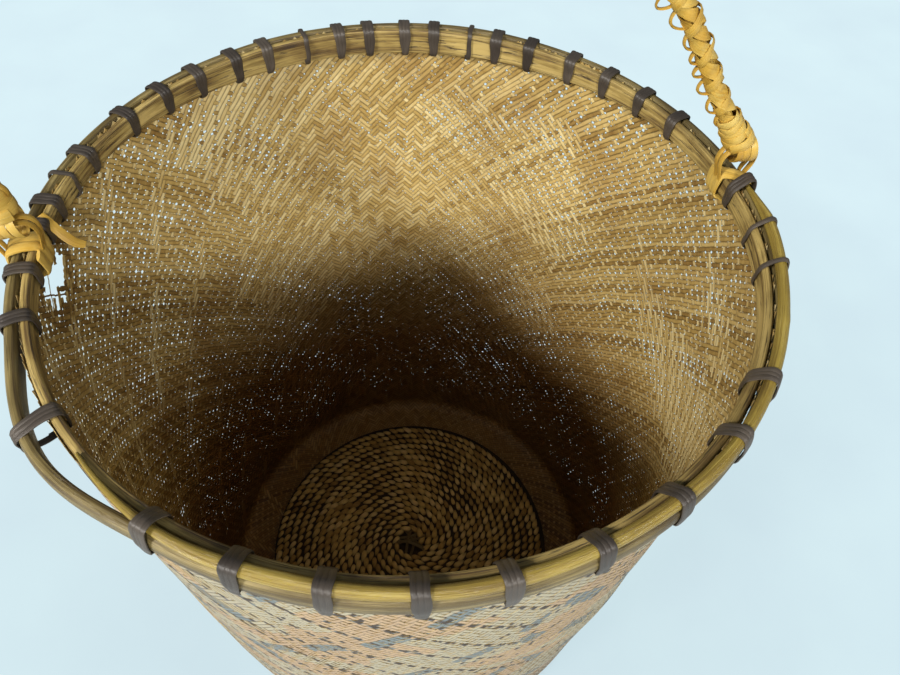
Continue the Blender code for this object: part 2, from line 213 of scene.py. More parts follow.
def makeFloor():
    # white paper: seen pale and even, with the object's shadow kept under it
    material, tree, shader = newMaterial("whitePaper")
    place = addNode(tree, "TexCoord").outputs["Object"]
    fibre = addNode(tree, "TexNoise", {"Vector": place, "Scale": 9.0, "Detail": 4.0})
    colour = setRamp(addNode(tree, "ValToRGB", (fibre,)), ((0.3, floor["paper"]), (0.7, floor["farPaper"])))
    feed(shader, {"Base Color": linearColour(floor["body"]), "Roughness": 0.9})
    seen = addNode(tree, "LightPath").outputs["Is Camera Ray"]
    parts = addNode(tree, "SeparateXYZ", (place,)).outputs
    flat = addNode(tree, "CombineXYZ", (parts["X"], parts["Y"]))
    reach = addNode(tree, "VectorMath", (flat,), operation="LENGTH")
    # painted shade: the floor's glow is a little duller near the basket than far off
    fade = addNode(tree, "MapRange", (reach, *floor["glowReach"], floor["nearGlow"], 1.0))
    glow = addNode(tree, "Emission", {"Color": colour, "Strength": fade})
    # no glow where the basket stands, so that no floor shines through the plaiting of its foot
    foot, edge = floor["footRadius"], floor["footEdge"]
    clear = addNode(tree, "MapRange", (reach, foot - edge, foot + edge, 0.0, floor["seenGlow"]),
                    interpolation_type="SMOOTHSTEP")
    share = addNode(tree, "Math", (seen, clear), operation="MULTIPLY")
    feed(tree.nodes["Material Output"], (addNode(tree, "MixShader", (share, shader, glow)),))
    mesh = bpy.data.meshes.new("floor")
    h = floor["half"]
    mesh.from_pydata([(-h, -h, 0), (h, -h, 0), (h, h, 0), (-h, h, 0)], [], [(0, 1, 2, 3)])
    mesh.materials.append(material)
    sheet = addObject("floor", mesh)


makeCamera()
makeLight()
makeFloor()
print("camera, light and floor are set")


# shared strip sweeping
def newTree(name, output, *inputs):
    # an empty tree with its named inputs
    tree = bpy.data.node_groups.new(name, "GeometryNodeTree")
    for label, kind in inputs:
        tree.interface.new_socket(label, in_out="INPUT", socket_type="NodeSocket" + kind)
    tree.interface.new_socket(output, in_out="OUTPUT", socket_type="NodeSocketGeometry")
    return tree, addNode(tree, "NodeGroupInput").outputs


def makeSweepTree():
    # sweeps a strip along every path, its flat side facing the path's own "lay" direction
    tree, given = newTree("stripSweep", "Strips", ("Paths", "Geometry"), ("Strip Width", "Float"),
                          ("Strip Thickness", "Float"), ("Section Sides", "Int"), ("Finish", "Material"))
    lay = addNode(tree, "GeometryNodeInputNamedAttribute", {"Name": "lay"}, data_type="FLOAT_VECTOR")
    share = addNode(tree, "GeometryNodeInputNamedAttribute", {"Name": "share"}, data_type="FLOAT")
    line = addNode(tree, "GeometryNodeMeshToCurve", (given["Paths"],))
    laid = addNode(tree, "GeometryNodeSetCurveNormal", {0: line, "Normal": lay}, mode="FREE")
    ring = addNode(tree, "GeometryNodeCurvePrimitiveCircle",
                   {"Resolution": given["Section Sides"], "Radius": 1.0})
    # turned by half a side, so that the section is as wide and thick as the strip
    half = addNode(tree, "Math", (math.pi, given["Section Sides"]), operation="DIVIDE")
    cosine = addNode(tree, "Math", (half,), operation="COSINE")
    grow = addNode(tree, "Math", (0.5, cosine), operation="DIVIDE")
    spin = addNode(tree, "CombineXYZ", {"Z": half})
    flat = addNode(tree, "GeometryNodeTransform", {0: ring, "Rotation": spin, "Scale": grow})
    shape = addNode(tree, "CombineXYZ", (given["Strip Thickness"], given["Strip Width"], 1.0))
    section = addNode(tree, "GeometryNodeTransform", {0: flat, "Scale": shape})
    swept = addNode(tree, "GeometryNodeCurveToMesh",
                    {0: laid, 1: section, "Scale": share, "Fill Caps": True})
    real = addNode(tree, "GeometryNodeRealizeInstances", (swept,))
    finish = addNode(tree, "GeometryNodeSetMaterial", {0: real, "Material": given["Finish"]})
    addNode(tree, "NodeGroupOutput", (finish,))
    return tree


sweepTree = makeSweepTree()


def pointMesh(name, values):
    # a mesh of loose points at "co", with the other values as named attributes
    mesh = bpy.data.meshes.new(name)
    mesh.vertices.add(len(values["co"]))
    for key, value in values.items():
        if key == "co":
            mesh.vertices.foreach_set("co", value.ravel())
        else:
            kind, field = (("FLOAT", "value"), ("FLOAT_VECTOR", "vector"))[value.ndim - 1]
            mesh.attributes.new(key, kind, "POINT").data.foreach_set(field, value.ravel())
    return mesh


def stripPath(co, lay, share, tone, along):
    # a path for the sweep through points in mm: the way its flat side faces, its share of the width,
    # its shade and the length along it in mm, each for all of it or point by point
    path = {"co": co * mm, "lay": np.broadcast_to(lay, (len(co), 3))}
    for key, value in (("share", share), ("tone", tone), ("along", along)):
        path[key] = np.broadcast_to(value, len(co)).astype(float)
    return path


def runTree(name, tree, mesh, values):
    # runs a tree on a mesh and keeps the result as a plain mesh object at the origin
    holder = addObject(name + "Paths", mesh)
    modifier = holder.modifiers.new("grow", "NODES")
    modifier.node_group = tree
    for item in tree.interface.items_tree:
        if item.in_out == "INPUT" and item.name in values:
            modifier[item.identifier] = values[item.name]
    graph = bpy.context.evaluated_depsgraph_get()
    made = bpy.data.meshes.new_from_object(holder.evaluated_get(graph), preserve_all_data_layers=True,
                                           depsgraph=graph)
    holder.modifiers.clear()
    bpy.data.objects.remove(holder)
    bpy.data.meshes.remove(mesh)
    made.name = name
    return addObject(name, made)


def readAll(things, field, kind=float):
    values = np.zeros(len(things), kind)
    things.foreach_get(field, values)
    return values


bakeLanes = (0.02, 0.06, 0.48, 0.52, 0.94)  # edges of a strip's four sides across its row of the bake


def sweepStrips(name, chains, width, thickness, sides, material, bakeRows=False):
    # chains are strip paths; for a bake they also carry "row", their place in it
    counts = [len(c["co"]) for c in chains]
    mesh = pointMesh(name, {key: np.concatenate([c[key] for c in chains]) for key in chains[0]})
    first = np.concatenate([np.arange(n - 1) + start for n, start in zip(counts, np.cumsum([0] + counts))])
    mesh.edges.add(len(first))
    mesh.edges.foreach_set("vertices", np.stack([first, first + 1], 1).ravel())
    mesh.update()
    piece = runTree(name, sweepTree, mesh, {"Strip Width": width * mm, "Strip Thickness": thickness * mm,
                                            "Section Sides": sides, "Finish": material})
    mesh = piece.data
    corners = readAll(mesh.loops, "vertex_index", np.int64)
    sizes = readAll(mesh.polygons, "loop_total", np.int64)
    owner = np.repeat(np.arange(len(sizes)), sizes)
    side, ring = corners % sides, corners // sides
    spans = []
    for places in (side, ring):
        # from where to where each face goes, round the section and along the strip
        low, high = np.full(len(sizes), len(corners)), np.zeros(len(sizes), np.int64)
        np.minimum.at(low, owner, places)
        np.maximum.at(high, owner, places)
        spans += [low[owner], high[owner]]
    wraps = (spans[0] == 0) & (spans[1] == sides - 1) & (spans[2] != spans[3])
    around = np.where(wraps & (side == 0), sides, side)
    along = readAll(mesh.attributes["along"].data, "value")
    # "strip": u is mm along the strip / 100, v counts the section's sides, the last being the outer face
    uv = mesh.uv_layers.new(name="strip")
    uv.data.foreach_set("uv", np.stack([along[corners] / 100, around / sides], 1).ravel())
    if bakeRows:
        row = readAll(mesh.attributes["row"].data, "value")
        lane = np.array(bakeLanes)[np.clip(around, 0, 4)]
        bake = mesh.uv_layers.new(name="OFBake")
        flatU = 0.004 + 0.992 * along[corners] / along.max()
        bake.data.foreach_set("uv", np.stack([flatU, (row[corners] + lane) / (row.max() + 1)], 1).ravel())
    mesh.uv_layers.active = mesh.uv_layers["strip"]
    mesh.shade_smooth()
    mesh.set_sharp_from_angle(angle=math.radians(50))
    return piece


# the plaited wall
wall = {
    "strips": 264,  # each way round
    "lift": 0.08, "thickness": 0.14, "width": 2.25, "leastWidth": 0.28,
    "hole": (0.34, 0.98),  # half size of the holes between four strips, in tight and in loose rows
    "leastHole": 0.09,
    "seam": -60,  # where the counting starts, in half strips from the right-hand side
    "ringInner": 96.0, "footRadius": 124.0, "footBend": 9.0, "halfSkin": 0.8,
    "topRadius": 135.9, "top": 330.0, "straightFrom": 316.1, "bulge": 2.5, "middleRadius": 134,
    "wander": 0.42, "swell": 0.35,
    # lean is painted shade: strips that lie across the view are coloured browner
    "lean": 0.42,  # how much browner strips look that lie across the view
    "zigzag": 28, "fold": 22, "boxHalf": 15,  # crossings from turn to turn of the pattern's lines
    "tear": (174.8, 311.0, 10.5, 12.5),  # angle, height, half sizes in mm
    "sectors": 6,
    # lower and upper edge of each wedge: angles in degrees, and the height at each
    "wedges": ((((-45, -23, -6, 0, 9, 20), (215, 198, 188, 198, 210, 250)),
                ((-45, -23, -6, 0, 9, 20), (290, 256, 242, 238, 238, 254))),
               (((-25, -6, 1), (266, 270, 302)), ((-25, -6, 1), (280, 285, 308)))),
}


def wallProfile():
    # the middle of the wall from under the base disc up to the rim: length, radius, height
    r, z = [wall["ringInner"]], [wall["halfSkin"]]
    bend = wall["footRadius"] - wall["footBend"]
    inner = wall["footBend"] - wall["halfSkin"]
    for share in np.linspace(0, 1, 24):
        a = share * math.pi / 2
        r.append(bend + inner * math.sin(a))
        z.append(wall["footBend"] - inner * math.cos(a))
    for height in np.linspace(wall["footBend"], wall["top"], 160)[1:]:
        share = min((height - wall["footBend"]) / (wall["straightFrom"] - wall["footBend"]), 1)
        outside = wall["footRadius"] + (wall["topRadius"] - wall["footRadius"]) * share
        r.append(outside + wall["bulge"] * math.sin(math.pi * share) - wall["halfSkin"])
        z.append(height)
    r, z = np.array(r), np.array(z)
    return lengthsAlong(r, z), r, z


def wallLevels():
    # one level for every crossing: both ways run at 45 degrees to the wall's own height
    s, r, z = wallProfile()
    angle = np.concatenate([[0], np.cumsum(np.diff(s) * 2 / (r[1:] + r[:-1]))])
    levels = int(angle[-1] / (math.pi / wall["strips"]))
    at = np.arange(levels + 1) * math.pi / wall["strips"]
    reach = np.interp(at, angle, s)
    radius, height = np.interp(reach, s, r), np.interp(reach, s, z)
    dr, dz = np.gradient(radius), np.gradient(height)
    size = np.hypot(dr, dz)
    return reach, radius, height, dz / size, -dr / size  # the last two are the outward normal


def weavePattern(levels, height):
    # True where the rising strip lies outside. Sectors of satin, twill, stairs and boxes that meet
    # in zigzag lines
    n, start, zig, fold, half = (wall[key] for key in ("strips", "seam", "zigzag", "fold", "boxHalf"))
    i, k = np.meshgrid(np.arange(n), np.arange(levels), indexing="ij")
    m = 2 * i + k
    near = (m - start) % (2 * n)
    u = near + start + 0.45 * (np.abs(k % (2 * zig) - zig) - zig / 2)
    # strips counted each way, and the same with a count that turns back at every fold
    a, b = (near - k) // 2, (near + k) // 2
    t = np.abs(k % (2 * fold) - fold)
    c, d = (near - t) // 2, (near + t) // 2
    satinFall = (a + 2 * b) % 5 == 4
    satinRise = (2 * a + b) % 5 != 4
    leaning = (2 * c + d) % 5 < 3
    chevron = np.where((k % (2 * fold)) < fold, ~leaning, leaning)
    stairs = (a + 2 * b) % 6 < 2
    stairsRise = (2 * a + b) % 6 < 4
    p, q = a % (2 * half) - half, b % (2 * half) - half
    box = np.where(p * q > 0, (np.abs(p) + np.abs(q)) % 6 < 3, (np.abs(p) - np.abs(q)) % 6 < 3)
    sectors = ((54, satinFall), (110, chevron), (150, box), (184, stairs), (300, satinRise),
               (350, (b - a) % 10 < 5), (410, chevron), (468, stairsRise))
    inside = np.zeros_like(m, bool)
    zone = np.zeros_like(m)
    low = start - 100
    for number, (high, twill) in enumerate(sectors):
        here = (u >= low) & (u < high)
        inside[here] = twill[here]
        zone[here] = number
        low = high
    inside[u >= low] = satinFall[u >= low]
    # by the rim the floats are long and all lean one way, in teeth
    tooth = levels - 1 - k < 20 + 9 * np.abs((near % 36) / 18 - 1)
    rimBand = tooth & (u > 40) & (u < 196)
    inside[rimBand] = ((a + 2 * b) % 7 < 1)[rimBand]
    # on the right a wedge of upright floats that widens towards the near side, and a thin band above
    degrees = (m * 180 / n + 180) % 360 - 180
    z = height[k] + 7 * np.sin(i * 2.4)  # its edges run out in single strips
    for low, high in wall["wedges"]:
        wedge = (z > np.interp(degrees, *low)) & (z < np.interp(degrees, *high))
        wedge &= (degrees > low[0][0]) & (degrees < low[0][-1])
        inside[wedge] = stairsRise[wedge]
    # on the left, columns two or three floats wide that lean the other way
    cluster = (u >= 180) & (u < 310) & ((near + k // 2 + 3 * (k // 23)) % 26 < 5) & (k % 46 < 37)
    inside[cluster] = ((a + 2 * b) % 6 > 3)[cluster]
    return ~inside, zone, m, k, near


def wallFields():
    reach, radius, height, outR, outZ = wallLevels()
    levels = len(reach)
    over, zone, m, k, near = weavePattern(levels, height)
    n, around = wall["strips"], wall["middleRadius"]
    theta = m * math.pi / n
    y = np.broadcast_to(reach, m.shape)
    wrapX, wrapY = around * np.cos(theta), around * np.sin(theta)
    # the same drift for both strips of a crossing, so the weave stays shut
    driftAlong = wall["wander"] * (wave(1, wrapX + y, wrapY, 46) + 0.5 * wave(2, wrapX, wrapY + y, 17))
    driftUp = wall["wander"] * (wave(3, wrapX - y, wrapY, 40) + 0.5 * wave(4, wrapX, wrapY - y, 15))
    driftOut = wall["swell"] * wave(5, wrapX + 0.5 * y, wrapY - 0.5 * y, 60)
    quiet = np.clip((y - 12) / 25, 0, 1) * np.clip((reach[-1] - y - 6) / 20, 0, 1)
    theta = theta + driftAlong * quiet / around
    z = height + driftUp * quiet * outR
    r = radius + driftOut * quiet
    # open plaiting near the rim at both sides, closer lower down and at the far side
    degrees = np.degrees(theta) % 360
    sideOpen = np.exp(-((degrees - 5) / 42) ** 2) + np.exp(-((degrees - 365) / 42) ** 2)
    sideOpen = sideOpen + 1.1 * np.exp(-((degrees - 172) / 46) ** 2)
    upper = np.clip((y - 60) / 260, 0, 1)
    patch = 0.5 + 0.5 * wave(6, wrapX + y, wrapY - y, 55)
    opened = 0.62 + 0.1 * upper ** 2 + 0.6 * upper ** 2 * sideOpen + 0.5 * (patch - 0.5)
    opened = np.clip(opened, 0.25, 1.25) * np.clip((y - 30) / 30, 0, 1)
    # a hole lies between four crossings where strips turn under each other, and is widest along
    # a few loose gaps: these run with the strips that lie flattest on each side of the basket
    ahead = np.pad(over, ((0, 0), (0, 2)), mode="edge").astype(int)
    corners = (ahead[:, :-2], ahead[:, 1:-1], np.roll(ahead[:, 2:], 1, 0), np.roll(ahead[:, 1:-1], 1, 0))
    turns = sum(np.abs(corners[side] - corners[side - 1]) for side in range(4))
    i = np.arange(n)[:, None]
    gaps = rng.uniform(0, 1, (2, n)) ** 2.2
    flat = np.clip(0.5 + 1.5 * np.cos(theta), 0, 1)
    loose = (1 - flat) * gaps[0][i] + flat * gaps[1][(i + k + 1) % n]
    loose = loose * np.clip(0.75 + 0.6 * wave(7, wrapX + y, wrapY - y, 38), 0.1, 1.2)
    loose = loose * (1 - 0.7 * np.clip(np.sin(theta), 0, 1) * (1 - upper))
    tight, wide = wall["hole"]
    hole = opened * (tight + (wide - tight) * loose) * rng.uniform(0.55, 1.15, m.shape)
    # low down most of them are closed
    hole = hole * (rng.uniform(size=m.shape) < np.clip(0.36 + 0.9 * upper, 0, 1))
    # only every second crossing along a gap is open, so the holes stay apart as dots
    every = [np.where(count % 2 == 0, 1.0, 0.25) for count in (i, i + k)]
    hole = hole * np.choose(turns // 2, (0.0, 1.0, 1.15)) * ((1 - flat) * every[1] + flat * every[0])
    tearAt, tearUp, tearWide, tearHigh = wall["tear"]
    aside = ((degrees - tearAt + 180) % 360 - 180) * math.radians(1) * around
    return dict(over=over, zone=zone, m=m, k=k, out=near, theta=theta, r=r, z=z, normal=(outR, outZ),
                hole=hole, torn=np.hypot(aside / tearWide, (z - tearUp) / tearHigh), reach=reach,
                levels=levels, pitch=radius / radius.max())


def outerDye(f):
    # what the outside shows at each crossing: 0 bare, 0.35 peach, 0.6 blue-grey, 0.9 dark
    zone, out, k, m = f["zone"], f["out"], f["k"], f["m"]
    dye = np.where(wave(8, m * 1.0, k * 2.0, 44) > 0.05, 0.35, 0.0)
    slope = (out + k) % 28
    other = (out - k) % 40
    bars = (slope < 7) & (other < 22) & np.isin(zone, (0, 3, 5, 7))
    chevrons = (other < 6) & (slope > 9) & np.isin(zone, (1, 2, 4, 6))
    dye = np.where(bars | chevrons, 0.6, dye)
    dashes = ((out + k) % 14 == 0) & ((out - k) % 6 < 3) & np.isin(zone, (1, 2, 5, 6))
    return np.where(dashes | (rng.uniform(size=m.shape) > 0.97), 0.9, dye)


def stripChains(f, family):
    # every strip of one family as a path with one station to a crossing
    n, levels = wall["strips"], f["levels"]
    dye = outerDye(f)
    chains = []
    tone = rng.uniform(0, 1, n)
    slim = rng.normal(0, 0.015, n)
    ragged = rng.uniform(-0.45, 0.45, n)
    ends = levels - 1 - rng.integers(0, 3, n)
    k = np.arange(levels)
    for number in range(n):
        column = np.full(levels, number) if family == 0 else (number - k) % n
        over = f["over"][column, k] ^ (family == 1)
        # the holes above and below the strip, halfway to its next crossing
        above = f["hole"][column, k][:-1]
        below = f["hole"][(column + 1) % n if family == 0 else column, k - 1][:-1]
        below[0] = 0
        # a station at each crossing, and one between where the strip dives or makes way for a hole
        notched = (over[1:] != over[:-1]) | (np.maximum(above, below) > wall["leastHole"])
        at = np.sort(np.concatenate([k, (k[:-1] + 0.5)[notched]]))
        near = np.floor(at).astype(int)
        half = (at % 1 > 0) * 1.0
        above, below = half * np.append(above, 0)[near], half * np.append(below, 0)[near]
        outwards = np.interp(at, k, np.where(over, 1.0, -1.0))
        theta = np.interp(at, k, np.unwrap(f["theta"][column, k]))
        r, z = np.interp(at, k, f["r"][column, k]), np.interp(at, k, f["z"][column, k])
        normalR, normalZ = (np.interp(at, k, part) for part in f["normal"])
        width = (1 + slim[number]) * (1 + 0.012 * rng.normal(size=len(at))) * f["pitch"][near]
        width = np.maximum(width - (above + below) / wall["width"], wall["leastWidth"])
        # it bends away from the larger hole
        aside = (below - above) / 2 * math.sqrt(0.5)
        theta = theta + (aside, -aside)[family == 0] / r
        r, z = r - aside * normalZ, z + aside * normalR
        co = polar(r + outwards * wall["lift"] * normalR, theta, z + outwards * wall["lift"] * normalZ)
        # painted shade: strips that lie across the view are coloured browner than those that run down it
        lean = np.cos(theta) * (wall["lean"] if family == 0 else -wall["lean"])
        shade = tone[number] + 0.1 * rng.normal(size=len(at)) + lean
        away = f["torn"][column, k][near]
        shade = shade - 1.2 * (away < 1.9) * rng.uniform(0, 1, len(at))
        # a few strips still cross the tear as threads
        thread = number % 9 == 4
        width = np.where(thread & (away < 1.1), 0.3, width)
        along = np.interp(at, k, f["reach"]) * 1.414
        whole = stripPath(co, polar(normalR, theta, normalZ), width, shade, along)
        whole["dye"] = dye[column, k][near]
        keep = (thread | (away >= 1 + ragged[number])) & (at <= ends[number])
        edges = np.flatnonzero(np.diff(np.concatenate([[0], keep, [0]])))
        chains.append([{key: value[start:stop] for key, value in whole.items()}
                       for start, stop in zip(edges[::2], edges[1::2]) if stop - start > 2])
    return chains


def makeWallMaterial():
    # split rattan, plaited: matt, with fine lengthwise fibres, each strip of its own shade,
    # browner in patches inside, dyed in blocks on the outside only
    material, tree, shader = newMaterial("plaitedSplitRattan")
    parts = addNode(tree, "SeparateXYZ", (addNode(tree, "UVMap", uv_map="strip"),)).outputs
    tone = addNode(tree, "Attribute", attribute_name="tone").outputs["Fac"]
    dye = addNode(tree, "Attribute", attribute_name="dye").outputs["Fac"]
    place = addNode(tree, "TexCoord").outputs["Object"]
    # fibres 0.25 mm apart across the strip and about 12 mm long
    offset = addNode(tree, "Math", (tone, 40.0), operation="MULTIPLY")
    lane = addNode(tree, "CombineXYZ", (parts["X"], parts["Y"], offset))
    fibre = stretchedNoise(tree, lane, (8.0, 36.0, 1.0), 3.0, 0.6)
    patches = addNode(tree, "TexNoise", {"Vector": place, "Scale": 22.0, "Detail": 3.0})
    bare = addNode(tree, "ValToRGB", (weigh(tree, 0.08, (tone, 0.42), (fibre, 0.5)),))
    setRamp(bare, ((0.12, "7f6130"), (0.36, "b09353"), (0.56, "c6ab6b"), (0.85, "e4d199")))
    stained = stain(tree, bare, "8b6835", patches, 0.5, 0.72, 0.55)[1]
    # outer face: v above 0.75 on the section
    outer = addNode(tree, "Math", (parts["Y"], 0.751), operation="GREATER_THAN")
    dyed = addNode(tree, "ValToRGB", (dye,))
    setRamp(dyed, ((0.1, "b5b2a0"), (0.24, "b5b2a0"), (0.34, "bda78c"), (0.46, "b39b80"), (0.55, "7d8c94"),
                   (0.7, "74818a"), (0.85, "443830"), (1.0, "382c25")))
    dyedFibre = addNode(tree, "Mix", {0: 0.35, 6: dyed, 7: bare}, data_type="RGBA", blend_type="MULTIPLY")
    faced = addNode(tree, "Mix", {0: outer, 6: stained, 7: dyedFibre}, data_type="RGBA")
    # painted shade: strip edges coloured darker, as the shade in the gaps between strips, so each strip reads
    # on its own
    off = parts["Y"]
    for operation, *other in (("MULTIPLY", 4.0), ("FRACT",), ("SUBTRACT", 0.5), ("ABSOLUTE",)):
        off = addNode(tree, "Math", (off, *other), operation=operation)
    edge = addNode(tree, "MapRange", (off, 0.26, 0.5, 1.0, 0.3))
    edgeShaded = addNode(tree, "Mix", {0: 1.0, 6: faced, 7: edge}, data_type="RGBA", blend_type="MULTIPLY")
    # painted shade: inside, the plaiting is coloured redder and darker the deeper it lies
    upFrom = addNode(tree, "SeparateXYZ", (place,)).outputs["Z"]
    depthShade = addNode(tree, "ValToRGB", (addNode(tree, "Math", (upFrom, 4.0), operation="MULTIPLY"),))
    setRamp(depthShade, ((0.0, "d2baa4"), (0.035, "9c826b"), (0.35, "9c7d62"), (0.85, "ffffff")))
    insideDepthShade = addNode(tree, "Mix", {0: outer, 6: depthShade, 7: linearColour("ffffff")}, data_type="RGBA")
    depthShaded = addNode(tree, "Mix", {0: 1.0, 6: edgeShaded, 7: insideDepthShade}, data_type="RGBA", blend_type="MULTIPLY")
    rough = addNode(tree, "MapRange", {0: fibre, 3: 0.42, 4: 0.68})
    # the strip's arched back, with its fibres
    arch = addNode(tree, "Math", (off, off), operation="MULTIPLY")
    height = addNode(tree, "Math", (weigh(tree, 0.0, (fibre, 0.12)), arch), operation="SUBTRACT")
    bump = addNode(tree, "Bump", {"Strength": 0.6, "Distance": 0.0006, "Height": height})
    feed(shader, {"Base Color": depthShaded, "Roughness": rough, "Normal": bump})
    return material


def makeWall():
    fields = wallFields()
    material = makeWallMaterial()
    for family in (0, 1):
        chains = stripChains(fields, family)
        share = len(chains) // wall["sectors"]
        for sector in range(wall["sectors"]):
            part = []
            for row, pieces in enumerate(chains[sector * share:(sector + 1) * share]):
                part += [dict(piece, row=np.full(len(piece["co"]), float(row))) for piece in pieces]
            name = "wallStrips%s%d" % (("Rising", "Falling")[family], sector + 1)
            made = sweepStrips(name, part, wall["width"], wall["thickness"], 4, material, bakeRows=True)
            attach(made, "basket")
            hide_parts("woven_wall")
            print(name, len(made.data.polygons), "faces")


makeWall()
print("the wall is plaited")


# the twined base
base = {
    "radius": 100.6, "edge": 98.2, "middle": 4.4, "dome": 6.0,  # height of its middle at the edge, and rise
    "rowPitch": 5.0, "stitchPitch": 5.5,
    "stitchLength": 9.2, "stitchWidth": 5.2, "stitchHeight": 4.1, "unevenness": 0.09,
    "lean": 30,  # degrees, out of the row
    "centre": 8.5, "seed": 5,
    # section of the disc of stakes: radius, and height over the disc's middle
    "stakes": ((0.4, -2.2), (8.5, -2.0), (12.5, 0.4), (50, 0.6), (98.6, 0.6), (98.6, -0.6),
               (50, -0.6), (12.5, -0.8), (8.5, -3.2), (0.4, -3.4)),
    "crossing": ((62, -2.1), (64, 1.9), (128, -2.6), (8, 0.4), (10, 4.4), (152, 2.4)),  # degrees, shift
    "crossHalf": 12.5, "crossWidth": 1.9, "crossThickness": 1.0,
}


def makeStitchTree():
    # sets one leaning teardrop stitch on every point
    tree, given = newTree("twinedStitches", "Stitches", ("Points", "Geometry"), ("Stitch Length", "Float"),
                          ("Stitch Width", "Float"), ("Stitch Height", "Float"), ("Unevenness", "Float"),
                          ("Seed", "Int"), ("Finish", "Material"))
    ball = addNode(tree, "GeometryNodeMeshUVSphere", {"Segments": 5, "Rings": 8, "Radius": 0.5})
    # laid along X and drawn out to a point at one end
    lying = addNode(tree, "GeometryNodeTransform", {0: ball, "Rotation": (0, math.pi / 2, 0)})
    axis = addNode(tree, "SeparateXYZ", (addNode(tree, "GeometryNodeInputPosition"),)).outputs
    thin = addNode(tree, "MapRange", (axis["X"], -0.5, 0.5, 1.2, 0.55))
    sideways, upward = (addNode(tree, "Math", (axis[name], thin), operation="MULTIPLY") for name in "YZ")
    drop = addNode(tree, "CombineXYZ", (axis["X"], sideways, upward))
    shaped = addNode(tree, "GeometryNodeSetPosition", {0: lying, "Position": drop})
    # how high each point lies on its stitch, for the painted shade down its sides
    crown = addNode(tree, "Math", (axis["Z"],), operation="ABSOLUTE")
    kept = addNode(tree, "GeometryNodeStoreNamedAttribute",
                   {"Geometry": shaped, "Name": "crown", "Value": crown}, data_type="FLOAT", domain="POINT")
    size = addNode(tree, "CombineXYZ", [given["Stitch " + name] for name in ("Length", "Width", "Height")])
    stitch = addNode(tree, "GeometryNodeTransform", {0: kept, "Scale": size})
    lay, way = (addNode(tree, "GeometryNodeInputNamedAttribute", {"Name": name}, data_type="FLOAT_VECTOR")
                for name in ("lay", "way"))
    share = addNode(tree, "GeometryNodeInputNamedAttribute", {"Name": "share"}, data_type="FLOAT")
    facing = addNode(tree, "FunctionNodeAxesToRotation", {"Primary Axis": way, "Secondary Axis": lay},
                     primary_axis="X", secondary_axis="Z")
    least, most = (addNode(tree, "Math", (1.0, given["Unevenness"]), operation=operation)
                   for operation in ("SUBTRACT", "ADD"))
    vary = addNode(tree, "FunctionNodeRandomValue", {2: least, 3: most, "Seed": given["Seed"]},
                   data_type="FLOAT")
    grown = addNode(tree, "Math", (vary, share), operation="MULTIPLY")
    dots = addNode(tree, "GeometryNodeMeshToPoints", (given["Points"],))
    laid = addNode(tree, "GeometryNodeInstanceOnPoints",
                   {"Points": dots, "Instance": stitch, "Rotation": facing, "Scale": grown})
    real = addNode(tree, "GeometryNodeRealizeInstances", (laid,))
    smooth = addNode(tree, "GeometryNodeSetShadeSmooth", (real,))
    finish = addNode(tree, "GeometryNodeSetMaterial", {0: smooth, "Material": given["Finish"]})
    addNode(tree, "NodeGroupOutput", (finish,))
    return tree


def discHeight(r):
    return base["middle"] + base["dome"] * (1 - (r / base["radius"]) ** 2)


def makeTwinedMaterial():
    # twined split strip: dull olive-brown, with painted shade that darkens each stitch from its crown down
    # its sides to the grooves
    material, tree, shader = newMaterial("twinedSplitStrip")
    place = addNode(tree, "TexCoord").outputs["Object"]
    tone = addNode(tree, "Attribute", attribute_name="tone").outputs["Fac"]
    crown = addNode(tree, "Attribute", attribute_name="crown").outputs["Fac"]
    grain = addNode(tree, "TexNoise", {"Vector": place, "Scale": 900.0, "Detail": 3.0})
    patches = addNode(tree, "TexNoise", {"Vector": place, "Scale": 30.0, "Detail": 2.0})
    colour = addNode(tree, "ValToRGB", (weigh(tree, 0.0, (tone, 0.5), (grain, 0.35), (patches, 0.3)),))
    setRamp(colour, ((0.25, "906f3a"), (0.45, "bd9853"), (0.62, "d8b56c"), (0.85, "eacc8c")))
    # painted shade: each stitch darker down its sides, towards the grooves
    crownShade = addNode(tree, "MapRange", (crown, 0.08, 0.36, 0.2, 1.0))
    shaded = addNode(tree, "Mix", {0: 1.0, 6: colour, 7: crownShade}, data_type="RGBA", blend_type="MULTIPLY")
    rough = addNode(tree, "MapRange", {0: grain, 3: 0.5, 4: 0.72})
    bump = addNode(tree, "Bump", {"Strength": 0.35, "Distance": 0.0004, "Height": grain})
    feed(shader, {"Base Color": shaded, "Roughness": rough, "Normal": bump})
    return material


def makeStakeMaterial():
    # painted shade: the stakes in the grooves are coloured nearly black brown, as they lie in shade
    material, tree, shader = newMaterial("darkStakes")
    place = addNode(tree, "TexCoord").outputs["Object"]
    grain = addNode(tree, "TexNoise", {"Vector": place, "Scale": 260.0, "Detail": 4.0})
    colour = setRamp(addNode(tree, "ValToRGB", (grain,)), ((0.3, "1c130a"), (0.7, "3a2814")))
    bump = addNode(tree, "Bump", {"Strength": 0.4, "Distance": 0.0004, "Height": grain})
    feed(shader, {"Base Color": colour, "Roughness": 0.8, "Normal": bump})
    return material


